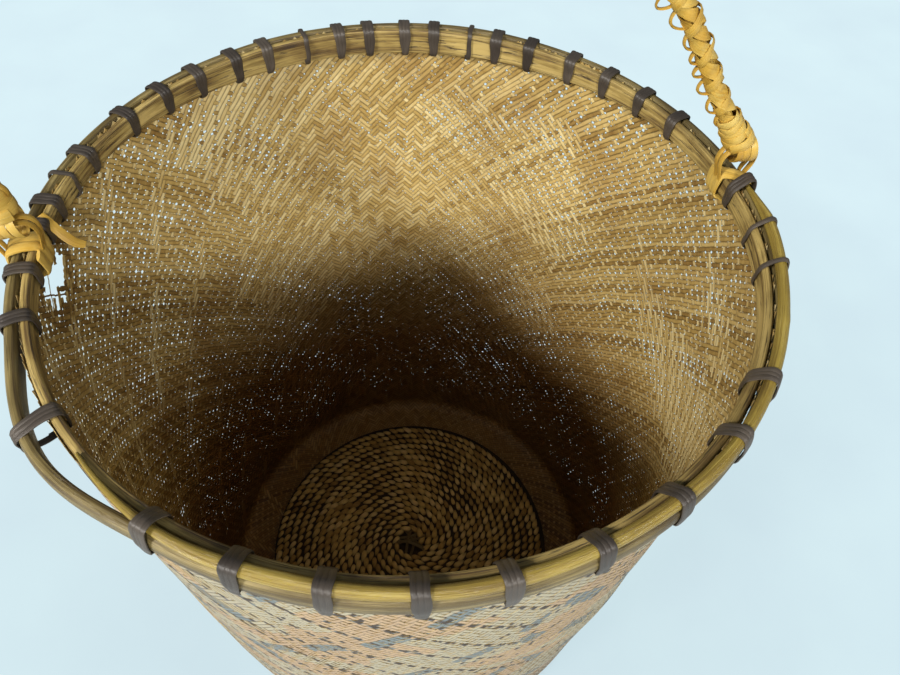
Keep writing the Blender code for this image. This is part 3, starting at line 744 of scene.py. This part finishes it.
def ringMesh(name, rings, material, closed, sharp=50):
    # a surface through rings of points in mm; u is mm along it / 100, v goes round the section
    count, sides = rings.shape[:2]
    middle = rings.mean(1)
    steps = np.linalg.norm(np.diff(middle, axis=0, append=middle[:1]), axis=1)
    along = np.concatenate([[0], np.cumsum(steps)]) / 100
    i, j = np.meshgrid(np.arange(count if closed else count - 1), np.arange(sides), indexing="ij")
    near, far, after = i * sides, (i + 1) % count * sides, (j + 1) % sides
    faces = np.stack([near + j, far + j, far + after, near + after], -1).reshape(-1, 4).tolist()
    uvs = np.stack([along[i], j / sides, along[i + 1], j / sides,
                    along[i + 1], (j + 1) / sides, along[i], (j + 1) / sides], -1).ravel()
    if not closed:
        faces += [list(range(sides)), list(range((count - 1) * sides, count * sides))]
        uvs = np.append(uvs, np.zeros(4 * sides))
    mesh = bpy.data.meshes.new(name)
    mesh.from_pydata((rings * mm).reshape(-1, 3).tolist(), [], faces)
    mesh.uv_layers.new(name="strip").data.foreach_set("uv", uvs)
    work = bmesh.new()
    work.from_mesh(mesh)
    bmesh.ops.recalc_face_normals(work, faces=work.faces)
    if work.calc_volume(signed=True) < 0:
        bmesh.ops.reverse_faces(work, faces=work.faces)
    work.to_mesh(mesh)
    work.free()
    mesh.shade_smooth()
    mesh.set_sharp_from_angle(angle=math.radians(sharp))
    mesh.materials.append(material)
    return addObject(name, mesh)


def makeStitches(finish):
    # a spiral of stitches from the centre out to the edge
    pick = np.random.default_rng(base["seed"])
    angle, points = 0.0, []
    while True:
        r = base["centre"] + base["rowPitch"] * angle / turn
        if r > base["edge"]:
            break
        points.append((r, angle))
        angle += base["stitchPitch"] / r
    r, a = np.array(points).T
    r = r + pick.normal(0, 0.22, len(r)) + 0.5 * wave(21, r * np.cos(a), r * np.sin(a), 60)
    r = np.minimum(r, base["edge"])
    slope = 2 * base["dome"] * r / base["radius"] ** 2
    lean = np.radians(base["lean"] + pick.normal(0, 5, len(r)))[:, None]
    way = polar(1, a + turn / 4, 0) * np.cos(lean) + polar(1, a, -slope) * np.sin(lean)
    tone = pick.uniform(0, 1, len(r))
    share = np.clip(0.9 + 0.12 * wave(22, r * np.cos(a), r * np.sin(a), 40), 0.8, 1.1)
    mesh = pointMesh("stitchPoints", {"co": polar(r, a, discHeight(r)) * mm, "way": way,
                                      "lay": polar(slope, a, 1), "tone": tone, "share": share})
    return runTree("baseStitches", makeStitchTree(), mesh, {
        "Stitch Length": base["stitchLength"] * mm, "Stitch Width": base["stitchWidth"] * mm,
        "Stitch Height": base["stitchHeight"] * mm, "Unevenness": base["unevenness"],
        "Seed": base["seed"], "Finish": finish})


def makeCrossing(finish):
    # strips that cross in the middle, three one way and three the other
    chains = []
    t = np.linspace(-base["crossHalf"], base["crossHalf"], 15)
    for number, (bearing, shift) in enumerate(base["crossing"]):
        way = np.array([math.cos(math.radians(bearing)), math.sin(math.radians(bearing))])
        off = np.array([-way[1], way[0]])
        flat = t[:, None] * way + (shift + 0.8 * np.sin(t / 4 + number))[:, None] * off
        lift = discHeight(0) + (0.9 if number % 2 else -0.5) - 0.0045 * t ** 2
        co = np.column_stack([flat, lift + 0.35 * np.cos(t / 2.2 + number)])
        chains.append(stripPath(co, (0, 0, 1), 1, 0.3 + 0.1 * number, t + base["crossHalf"]))
    return sweepStrips("baseCrossing", chains, base["crossWidth"], base["crossThickness"], 8, finish)


def makeBase():
    twined, dark = makeTwinedMaterial(), makeStakeMaterial()
    stitches = makeStitches(twined)
    # a thin disc of stakes inside the rows, sunk in the middle
    angle = turn * np.arange(96) / 96
    rings = np.array([polar(radius, angle, discHeight(radius) + lift) for radius, lift in base["stakes"]])
    under = ringMesh("baseStakes", rings, dark, True, sharp=40)
    for piece in (stitches, under, makeCrossing(twined)):
        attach(piece, "basket")
        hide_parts("twined_base")
    print("baseStitches", len(stitches.data.polygons), "faces")


makeBase()
print("the base is twined")


# rim hoops and the round cane
rim = {
    "top": 330.0, "middle": 135, "steps": 360, "sides": 20,
    # radii, powers that round the section's outer and inner side, seeds
    "innerHoop": {"in": 130.85, "out": 134.55, "powers": (0.45, 0.45), "seeds": (31, 33)},
    "outerHoop": {"in": 135.6, "out": 139.95, "powers": (0.75, 0.3), "seeds": (32, 34), "height": 9.0},
    "hollow": 0.3,  # of the inner hoop's inner side, as a share of half its thickness
    "bowDepth": 5.0, "bowTurns": (0.530, 0.645),
    "cane": {"middle": 137.0, "radius": 2.2, "turns": (0.600, 1.0045), "tip": 0.3,
             "steps": 170, "sides": 14, "taper": (26, 12)},  # steps in which each end thins out
}


def bowAt(angle):
    # how far the outer hoop stands off the wall at each angle
    low, high = rim["bowTurns"]
    along = (np.mod(angle, turn) / turn - low) / (high - low)
    return np.where((along > 0) & (along < 1), rim["bowDepth"] * np.sin(np.pi * np.clip(along, 0, 1)) ** 2, 0)


def hoopLow(angle):
    # lower edge of the inner hoop from the rim's top: deep at the far side, narrow elsewhere
    far = np.exp(-((np.mod(angle, turn) - math.radians(86)) / math.radians(52)) ** 4)
    return -8.6 - 3.4 * far


def makeCaneMaterial(name, stops, gloss, streaks, marks, markColour):
    # cane skin and split cane: long fibres that run with the hoop, dark cracks and streaks in
    # the lengthwise direction, cloudy stains; the skin is the glossier the rounder it is left
    material, tree, shader = newMaterial(name)
    uv = addNode(tree, "UVMap", uv_map="strip")
    place = addNode(tree, "TexCoord").outputs["Object"]
    fibre = stretchedNoise(tree, uv, (3.0, 60.0, 1.0), 4.0, 0.65)  # 0.4 mm apart and some 40 mm long
    band = stretchedNoise(tree, uv, (2.2, 9.0, 1.0), 3.0)
    cloud = addNode(tree, "TexNoise", {"Vector": place, "Scale": 38.0, "Detail": 3.0})
    colour = addNode(tree, "ValToRGB", (weigh(tree, 0.0, (band, 0.6), (fibre, streaks), (cloud, 0.4)),))
    setRamp(colour, stops)
    # cracks, 0.3 mm wide and 10 to 30 mm long
    crack = stretchedNoise(tree, uv, (5.0, 44.0, 1.0), 5.0, 0.7, (3, 7, 0))
    dark, marked = stain(tree, colour, markColour, crack, 0.56, 0.62, marks)
    rough = addNode(tree, "MapRange", {0: fibre, 3: gloss, 4: gloss + 0.22})
    sunk = weigh(tree, fibre, (dark, -1.2))
    bump = addNode(tree, "Bump", {"Strength": 0.5, "Distance": 0.0005, "Height": sunk})
    feed(shader, {"Base Color": marked, "Roughness": rough, "Normal": bump})
    return material


def hoopRings(inner):
    # a flat inner hoop with rounded edges and a hollow inside, or a half-round outer one
    form = rim["innerHoop" if inner else "outerHoop"]
    angle = (np.arange(rim["steps"]) * turn / rim["steps"])[:, None]
    x, y = rim["middle"] * np.cos(angle), rim["middle"] * np.sin(angle)
    swell = 1 + 0.05 * wave(form["seeds"][0], x, y, 70)
    waver = 0.25 * wave(form["seeds"][1], x, y, 90)
    t = turn * (np.arange(rim["sides"]) + 0.5) / rim["sides"]
    c, s = np.cos(t), np.sin(t)
    outside, inside = form["powers"]
    flatR = np.copysign(np.abs(c) ** np.where(c < 0, inside, outside), c)
    flatZ = np.copysign(np.abs(s) ** outside, s)
    half = (form["out"] - form["in"]) / 2 * 0.97
    out = (form["in"] + form["out"]) / 2
    if inner:
        low = hoopLow(angle)
        out = out + half * (flatR + np.where(c < 0, rim["hollow"] * (1 - flatZ ** 2), 0)) * swell
    else:
        low = -form["height"]
        out = out + half * flatR * np.where(c > 0, swell, 1) + bowAt(angle)
    up = rim["top"] + low / 2 - low / 2 * flatZ * np.minimum(swell, 1.0) + waver * 0.6
    return polar(out, angle, up)


def caneRings():
    cane = rim["cane"]
    low, high = (share * turn for share in cane["turns"])
    count, (first, last) = cane["steps"], cane["taper"]
    i = np.arange(count + 1)[:, None]
    fromEnd = np.minimum(np.minimum(i, count - i) / np.where(i < count / 2, first, last), 1)
    thick = cane["tip"] + (1 - cane["tip"]) * fromEnd ** 1.2
    knuckle = np.exp(-(((i / count * 5.3 + 0.35) % 1 - 0.5) * 26) ** 2)  # one every 65 mm
    radius = cane["radius"] * thick * (0.96 + 0.05 * knuckle + 0.03 * np.sin(i * 0.21))
    out = cane["middle"] + 0.3 * np.sin(i * 0.13) * fromEnd
    out = out - 3.2 * (1 - np.minimum(i / first, 1)) ** 1.5  # its thin end lies on the inner hoop
    t = turn * np.arange(cane["sides"]) / cane["sides"]
    up = rim["top"] + 0.3 + radius + radius * np.sin(t)
    return polar(out + radius * np.cos(t), low + (high - low) * i / count, up)


def makeRim():
    innerStops = ((0.58, "33271a"), (0.68, "6a5430"), (0.78, "9c864d"), (0.88, "c0a868"))
    outerStops = ((0.55, "362b19"), (0.66, "56482a"), (0.76, "70623b"), (0.87, "968657"))
    caneStops = ((0.5, "655228"), (0.62, "847033"), (0.75, "99853d"), (0.86, "ad9a53"))
    innerFinish = makeCaneMaterial("splitCaneInside", innerStops, 0.42, 0.55, 0.85, "33261a")
    outerFinish = makeCaneMaterial("splitCaneSkin", outerStops, 0.3, 0.5, 0.7, "4a3a20")
    caneFinish = makeCaneMaterial("roundCaneSkin", caneStops, 0.16, 0.4, 0.6, "6b5526")
    inner = ringMesh("innerHoop", hoopRings(True), innerFinish, True)
    outer = ringMesh("outerHoop", hoopRings(False), outerFinish, True)
    cane = ringMesh("roundCane", caneRings(), caneFinish, False)
    for piece, node, slot in ((inner, "rim_inner_hoop", "brown_split_cane"),
                              (outer, "rim_outer_hoop", "golden_split_cane"),
                              (cane, "rim_top_cane", "yellow_cane")):
        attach(piece, "basket")
        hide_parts(node)


makeRim()
print("the rim is bent and laid")


# lashings round the rim
lashing = {
    "turns": (0.055, 0.079, 0.103, 0.126, 0.152, 0.172, 0.188, 0.209, 0.226, 0.247, 0.264, 0.284,
              0.307, 0.326, 0.349, 0.371, 0.395, 0.427, 0.444, 0.461, 0.476, 0.502, 0.528, 0.578,
              0.639, 0.671, 0.700, 0.729, 0.757, 0.788, 0.821, 0.856, 0.886, 0.948, 0.972, 0.999),
    "single": (0.188, 0.284, 0.444, 0.948, 0.972),
    "wound": (1.15, 2.9),  # turns of a single one and of the others
    "width": 2.1, "thickness": 0.8, "pitch": 1.62, "middle": 135.4, "half": 4.95,
    # over the hoops alone, and over the round cane too
    "over": ((-3.4, 0.75), (3.6, 0.75)), "overCane": ((-4.0, 0.9), (-0.5, 4.2), (1.6, 5.15), (3.7, 4.2)),
}


def roundedLoop(points, steps):
    # a closed smooth line through the points, evenly spaced
    p = np.array(points, float)
    x, z, reach = smoothLine([p[-1], *p, p[0], p[1]], 12)
    at = np.linspace(0, reach[-1], steps, endpoint=False)
    return np.column_stack([np.interp(at, reach, x), np.interp(at, reach, z)])


def woundChain(loop, turns, pitch, angle, middle, pinch, tone, row):
    # a strip wound round a loop in the rim's own section from its lowest point, stepping along the rim
    steps = len(loop)
    place = np.arange(int(turns * steps) + 1)
    which = (place + np.argmin(loop[:, 1])) % steps
    x, z = loop[which].T
    ahead = (np.roll(loop, -1, 0) - np.roll(loop, 1, 0))[which]
    nx, nz = np.array([-ahead[:, 1], ahead[:, 0]]) / np.hypot(*ahead.T)
    spread = np.clip((z - loop[:, 1].min()) / 11, 0, 1)
    step = (place / steps - turns / 2) * pitch * (1 - pinch * (1 - spread) ** 1.5)
    step = step + 0.12 * np.sin(place * 0.7 + row)
    c, s = math.cos(angle), math.sin(angle)
    reach = middle + x
    co = np.column_stack([reach * c - step * s, reach * s + step * c, rim["top"] + z])
    share = 1 + 0.07 * np.sin(place * 0.35 + 2 * row)
    return stripPath(co, np.column_stack([nx * c, nx * s, nz]), share, tone, place)


def makeStripMaterial(name, stops, gloss, grain, marks, markColour):
    # split strip with the skin left on: fibres along it, satin, darker in the folds and cracks
    material, tree, shader = newMaterial(name)
    place = addNode(tree, "TexCoord").outputs["Object"]
    tone = addNode(tree, "Attribute", attribute_name="tone").outputs["Fac"]
    # fibres about 0.3 mm apart, some 15 mm long
    fibre = stretchedNoise(tree, addNode(tree, "UVMap", uv_map="strip"), (7.0, 26.0, 1.0), 4.0, 0.6)
    cloud = addNode(tree, "TexNoise", {"Vector": place, "Scale": 120.0, "Detail": 3.0})
    colour = addNode(tree, "ValToRGB", (weigh(tree, 0.0, (tone, 0.35), (fibre, grain), (cloud, 0.45)),))
    setRamp(colour, stops)
    marked = stain(tree, colour, markColour, fibre, 0.6, 0.72, marks)[1]
    rough = addNode(tree, "MapRange", {0: fibre, 3: gloss, 4: gloss + 0.2})
    bump = addNode(tree, "Bump", {"Strength": 0.45, "Distance": 0.0004, "Height": fibre})
    feed(shader, {"Base Color": marked, "Roughness": rough, "Normal": bump})
    return material


def makeLashings():
    stops = ((0.35, "2b2622"), (0.55, "3b3530"), (0.75, "4a433c"), (0.95, "62594f"))
    finish = makeStripMaterial("darkSplitStrip", stops, 0.3, 0.5, 0.5, "1f1a17")
    chains = []
    half = lashing["half"]
    caneLow, caneHigh = (share * turn for share in rim["cane"]["turns"])
    for row, share in enumerate(lashing["turns"]):
        angle = share * turn
        low, off = hoopLow(angle), float(bowAt(angle))
        top = lashing["overCane" if (angle - caneLow) % turn < caneHigh - caneLow else "over"]
        loop = roundedLoop([(-half, low + 1.2), (-half, low / 2), (-half, -1.4), *top, (half + off, -1.6),
                            (half + off, -5.5), (half + off - 0.5, -9.4),
                            (0.9 + off / 3, min(low, -9.6) - 0.9), (-3.6, low - 0.8)], 44)
        turns = lashing["wound"][share not in lashing["single"]]
        tone = rng.uniform(0.15, 0.85)
        chains.append(woundChain(loop, turns, lashing["pitch"], angle, lashing["middle"], 0.85, tone, row))
    piece = sweepStrips("rimLashings", chains, lashing["width"], lashing["thickness"], 8, finish)
    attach(piece, "basket")
    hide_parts(*["lashing_%02d" % (i + 1) for i in range(len(lashing["turns"]))])
    print("rimLashings", len(piece.data.polygons), "faces")


makeLashings()
print("the rim is lashed")


# tie loops
tie = {
    "angle": 3.96, "middle": 135.4, "rise": 12.5, "halfSpan": 7.6,
    "width": 2.3, "thickness": 0.8, "pitch": 3.1, "turns": (2.0, 2.4),
    # the lower band, which crosses the rim at a slant: width, pitch, slant and shift
    "bands": {"rightTie": (3.8, 2.7, 0.65, -3.2), "leftTie": (4.6, 4.4, 0.05, 0.0)},
    "tail": ((-131.6, 24.4, 330.5), (-117.6, 15.0, 322.5)),  # from its root to its tip
}


def tieTail():
    # the loose end that pokes into the basket, from the rim's top over the inner hoop
    t = np.linspace(0, 1, 16)
    root, tip = np.array(tie["tail"])
    line = root + (tip - root) * t[:, None]
    line[:, 2] -= 1.6 * np.sin(np.pi * t) - 0.8 * np.sin(np.pi * t * 2)
    line[:, 1] -= 1.4 * np.sin(np.pi * t)
    return stripPath(line, (0.3, -0.5, 0.8), 1.35 + 0.2 * np.sin(np.pi * t) - 0.35 * t ** 10, 0.35, t * 26)


def makeTies(finish):
    shift = tie["middle"] * math.sin(math.radians(tie["angle"]))
    across = tie["middle"] * math.cos(math.radians(tie["angle"]))
    high, span = tie["rise"], tie["halfSpan"]
    for name, node, side in (("rightTie", "tie_loop_right", 1), ("leftTie", "tie_loop_left", -1)):
        angle = 0.0 if side > 0 else math.pi
        low = hoopLow(angle)
        width, pitch, slant, aside = tie["bands"][name]
        tall = roundedLoop([(-5.6, low), (-5.9, -1.0), (-span, 6.0), (-span + 1.0, high - 1.6), (-3.6, high),
                            (3.6, high), (span - 1.0, high - 1.6), (span, 6.0), (5.9, -1.0), (5.7, -8.4),
                            (1.5, -12.2), (-3.4, low - 1.2)], 56)
        hugging = roundedLoop([(-5.5, low), (-5.5, -1.5), (-3.6, 1.0), (3.8, 1.0), (5.5, -1.5), (5.6, -8.8),
                               (1.4, -11.6), (-3.6, low - 1.2)], 44)
        loops = zip((tall, hugging), tie["turns"], (tie["pitch"], pitch))
        chains = [woundChain(*loop, angle, across, 0.15, 0.3 + 0.4 * row, row)
                  for row, loop in enumerate(loops)]
        for chain in chains:
            chain["co"][:, 1] += shift * mm
        band = chains[1]
        band["co"][:, 1] += aside * mm - slant * (band["co"][:, 0] * side - across * mm)
        band["share"] *= width / tie["width"]
        if side < 0:
            chains.append(tieTail())
        piece = sweepStrips(name, chains, tie["width"], tie["thickness"], 8, finish)
        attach(piece, "basket")
        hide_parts(node)


# handle
handle = {
    "pivot": (0.0, 9.349, 342.5), "halfSpan": 135.08, "rise": 150.0,
    # middle line, in shares of the half span and the rise
    "path": ((-1.0, 0.0), (-1.01, 0.3), (-0.95, 0.6), (-0.78, 0.87), (-0.5, 1.0), (-0.18, 0.96),
             (0.15, 0.82), (0.43, 0.63), (0.666, 0.415), (0.758, 0.305), (0.871, 0.153), (1.0, 0.0)),
    "step": 0.75, "core": 4.2, "coreEnd": 5.5, "coreStep": 3.0, "coreSides": 12,
    "bandEnd": 7.0, "bandPitch": 8.6, "bandWidth": 4.2, "stripThickness": 0.75, "bandKnob": 0.9,
    "eyeletWidth": 1.9, "eyeletReach": 3.3, "eyeletPitch": 8.4, "earReach": 1.5,
}


def handleLine():
    # the handle's middle line: distance along it, place and direction
    p = np.array([(x * handle["halfSpan"], z * handle["rise"]) for x, z in handle["path"]])
    x, z, reach = smoothLine([2 * p[0] - p[1], *p, 2 * p[-1] - p[-2]], 40)
    at = np.linspace(0, reach[-1], int(reach[-1] / handle["step"]))
    x, z = np.interp(at, reach, x), np.interp(at, reach, z)
    dx, dz = np.gradient(x), np.gradient(z)
    size = np.hypot(dx, dz)
    return at, x, z, dx / size, dz / size


def handleAt(line, distance):
    # places on the handle's middle line, and the way to its outer side there
    x, z, dx, dz = (np.interp(distance, line[0], part) for part in line[1:])
    return np.column_stack([x, 0 * x, z]) + np.array(handle["pivot"]), np.column_stack([-dz, 0 * x, dx])


def aroundChain(line, distance, angle, radius, share, tone):
    # a path wound round the handle: angle 0 is its outer side, half a turn its inner side
    centre, outer = handleAt(line, distance)
    way = outer * np.cos(angle)[:, None] + np.array([0.0, 1.0, 0.0]) * np.sin(angle)[:, None]
    return stripPath(centre + way * radius[:, None], way, share, tone, np.arange(len(distance)) * 0.8)


def makeCore(line, finish):
    # a cane with slight knuckles
    d = np.arange(handle["coreEnd"], line[0][-1] - handle["coreEnd"], handle["coreStep"])
    centre, outer = handleAt(line, d)
    radius = handle["core"] / 2 * (1 + 0.03 * np.sin(d * 0.2))
    t = (turn * np.arange(handle["coreSides"]) / handle["coreSides"])[:, None]
    way = outer[:, None] * np.cos(t) + np.array([0, 1, 0]) * np.sin(t)
    return ringMesh("handleCore", centre[:, None] + radius[:, None, None] * way, finish, False)


def makeBands(line, finish):
    # three broad bands side by side, wound one way, each fuller on the handle's outer side
    core, pitch = handle["core"] / 2, handle["bandPitch"]
    d = np.arange(handle["bandEnd"], line[0][-1] - handle["bandEnd"], 0.5)
    chains = []
    for row in range(3):
        angle = turn * (d / (3 * pitch) + row / 3) + 0.35 * wave(41 + row, d, d * 0, 37)
        bulge = np.maximum(0, np.cos(angle - 0.3)) ** 3
        radius = core + 0.55 + handle["bandKnob"] * bulge + 0.15 * np.sin(d * 1.3 + row)
        share = (1 - 0.2 * bulge) * (1 + 0.1 * wave(43 + row, d, d * 0, 12))
        chains.append(aroundChain(line, d, angle, radius, share, 0.35 + 0.2 * row))
    # a narrower one wound over them the other way, standing off in an ear at every turn
    angle = -turn * d / (1.5 * pitch) + 0.4 * wave(40, d, d * 0, 45)
    ear = np.maximum(0, np.cos(angle)) ** 6
    radius = core + 1.1 + handle["earReach"] * ear * (0.85 + 0.4 * wave(42, d, d * 0, 23))
    chains.append(aroundChain(line, d, angle, radius, 0.72 + 0.12 * wave(39, d, d * 0, 20), 0.6))
    return sweepStrips("handleBands", chains, handle["bandWidth"], handle["stripThickness"], 6, finish)


def makeLoops(line, finish):
    # a thin strip along the inner side: it dives under at every step and arches off between,
    # so a row of open eyelets shows beside the bands
    d = np.arange(handle["bandEnd"] + 4, line[0][-1] - handle["bandEnd"] - 3, 0.36)
    beat = (d / handle["eyeletPitch"] + 0.25 * wave(44, d, d * 0, 45)) % 1
    arch = np.sin(math.pi * np.clip((beat - 0.14) / 0.72, 0, 1)) ** 0.6
    high = np.maximum(handle["eyeletReach"] * (0.95 + 0.3 * wave(46, d, d * 0, 31)), 1.2)
    angle = math.pi + 0.12 * wave(49, d, d * 0, 40)
    radius = handle["core"] / 2 + 0.7 + high * arch
    chain = aroundChain(line, d, angle, radius, 1 + 0.12 * wave(48, d, d * 0, 9), 0.3)
    return sweepStrips("handleLoops", [chain], handle["eyeletWidth"], handle["stripThickness"], 6, finish)


knot = {
    "width": 3.3, "thickness": 0.8,
    "eye": (-2.3, 0.0, 2.3), "eyeRadius": 5.75,  # where its strips lie on the tie, which is its pin
    # bands above it: distance from the pin, reach from the middle line, share of the width, tilt
    "barrel": ((6.2, 5.5, 1.35, 0.4), (9.0, 5.1, 1.2, 0.9), (12.0, 4.6, 1.1, -0.6),
               (15.2, 4.2, 1.1, 0.8), (18.4, 3.8, 1.0, -0.5)),
}


def makeKnot(name, side, line, finish):
    chains = []
    # the eye that turns on the tie: three strips round the pin
    t = np.linspace(-0.1 * math.pi, 2.1 * math.pi, 44)
    lay = np.column_stack([0 * t, np.sin(t), -np.cos(t)])
    for row, x in enumerate(knot["eye"]):
        co = lay * (knot["eyeRadius"] + 0.15 * np.sin(t * 3 + row))[:, None] + np.array(handle["pivot"])
        co[:, 0] += side * handle["halfSpan"] + x + 0.9 * np.sin(t + row)
        chains.append(stripPath(co, lay, 0.85, 0.3 + 0.2 * row, t * 6.2))
    # the barrel above it: a cup-like lowest band, then narrower ones, each over the last
    windings = []
    t = np.linspace(0, 2.12 * math.pi, 40)
    for row, (up, reach, wide, tilt) in enumerate(knot["barrel"], 3):
        d = up + 0.55 * tilt * np.cos(t + 0.6) + 1.1 * (t / turn - 0.5)
        radius = reach - 0.6 * (t / turn - 0.5) + 0.15 * np.sin(3 * t + row)
        windings.append((d, t + row * 1.3, radius, wide, 0.35 + 0.1 * row))
    # an end of strip that stands out of the knot
    t = np.linspace(0, 1, 10)
    windings.append((12.0 + 3.0 * t, 0.2 + 1.1 * t, 4.9 + 4.4 * t ** 1.4, 0.75 - 0.4 * t, 0.55))
    for d, *winding in windings:
        chains.append(aroundChain(line, line[0][-1] - d if side > 0 else d, *winding))
    return sweepStrips(name, chains, knot["width"], knot["thickness"], 8, finish)


def makeHandle(finish, coreFinish):
    line = handleLine()
    for piece, node, slot in ((makeCore(line, coreFinish), "handle_core", "yellow_cane"),
                              (makeBands(line, finish), "handle_wrap", "yellow_strip"),
                              (makeLoops(line, finish), "handle_wrap", "yellow_strip"),
                              (makeKnot("rightKnot", 1, line, finish), "handle_knot_right", "yellow_strip"),
                              (makeKnot("leftKnot", -1, line, finish), "handle_knot_left", "yellow_strip")):
        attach(piece, "handle")
        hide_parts(node)
        print(piece.name, len(piece.data.polygons), "faces")


yellowStops = ((0.35, "7a5319"), (0.52, "ac8431"), (0.7, "c6a044"), (0.92, "d6ba66"))
coreStops = ((0.45, "94702c"), (0.62, "b8943f"), (0.8, "c9a850"), (0.95, "d6b868"))
yellowStrip = makeStripMaterial("yellowSplitRattan", yellowStops, 0.26, 0.6, 0.7, "5c3a14")
yellowCore = makeCaneMaterial("handleCane", coreStops, 0.28, 0.4, 0.5, "6b4a1c")
makeTies(yellowStrip)
makeHandle(yellowStrip, yellowCore)
print("the handle is tied on")


print("the basket is dressed")
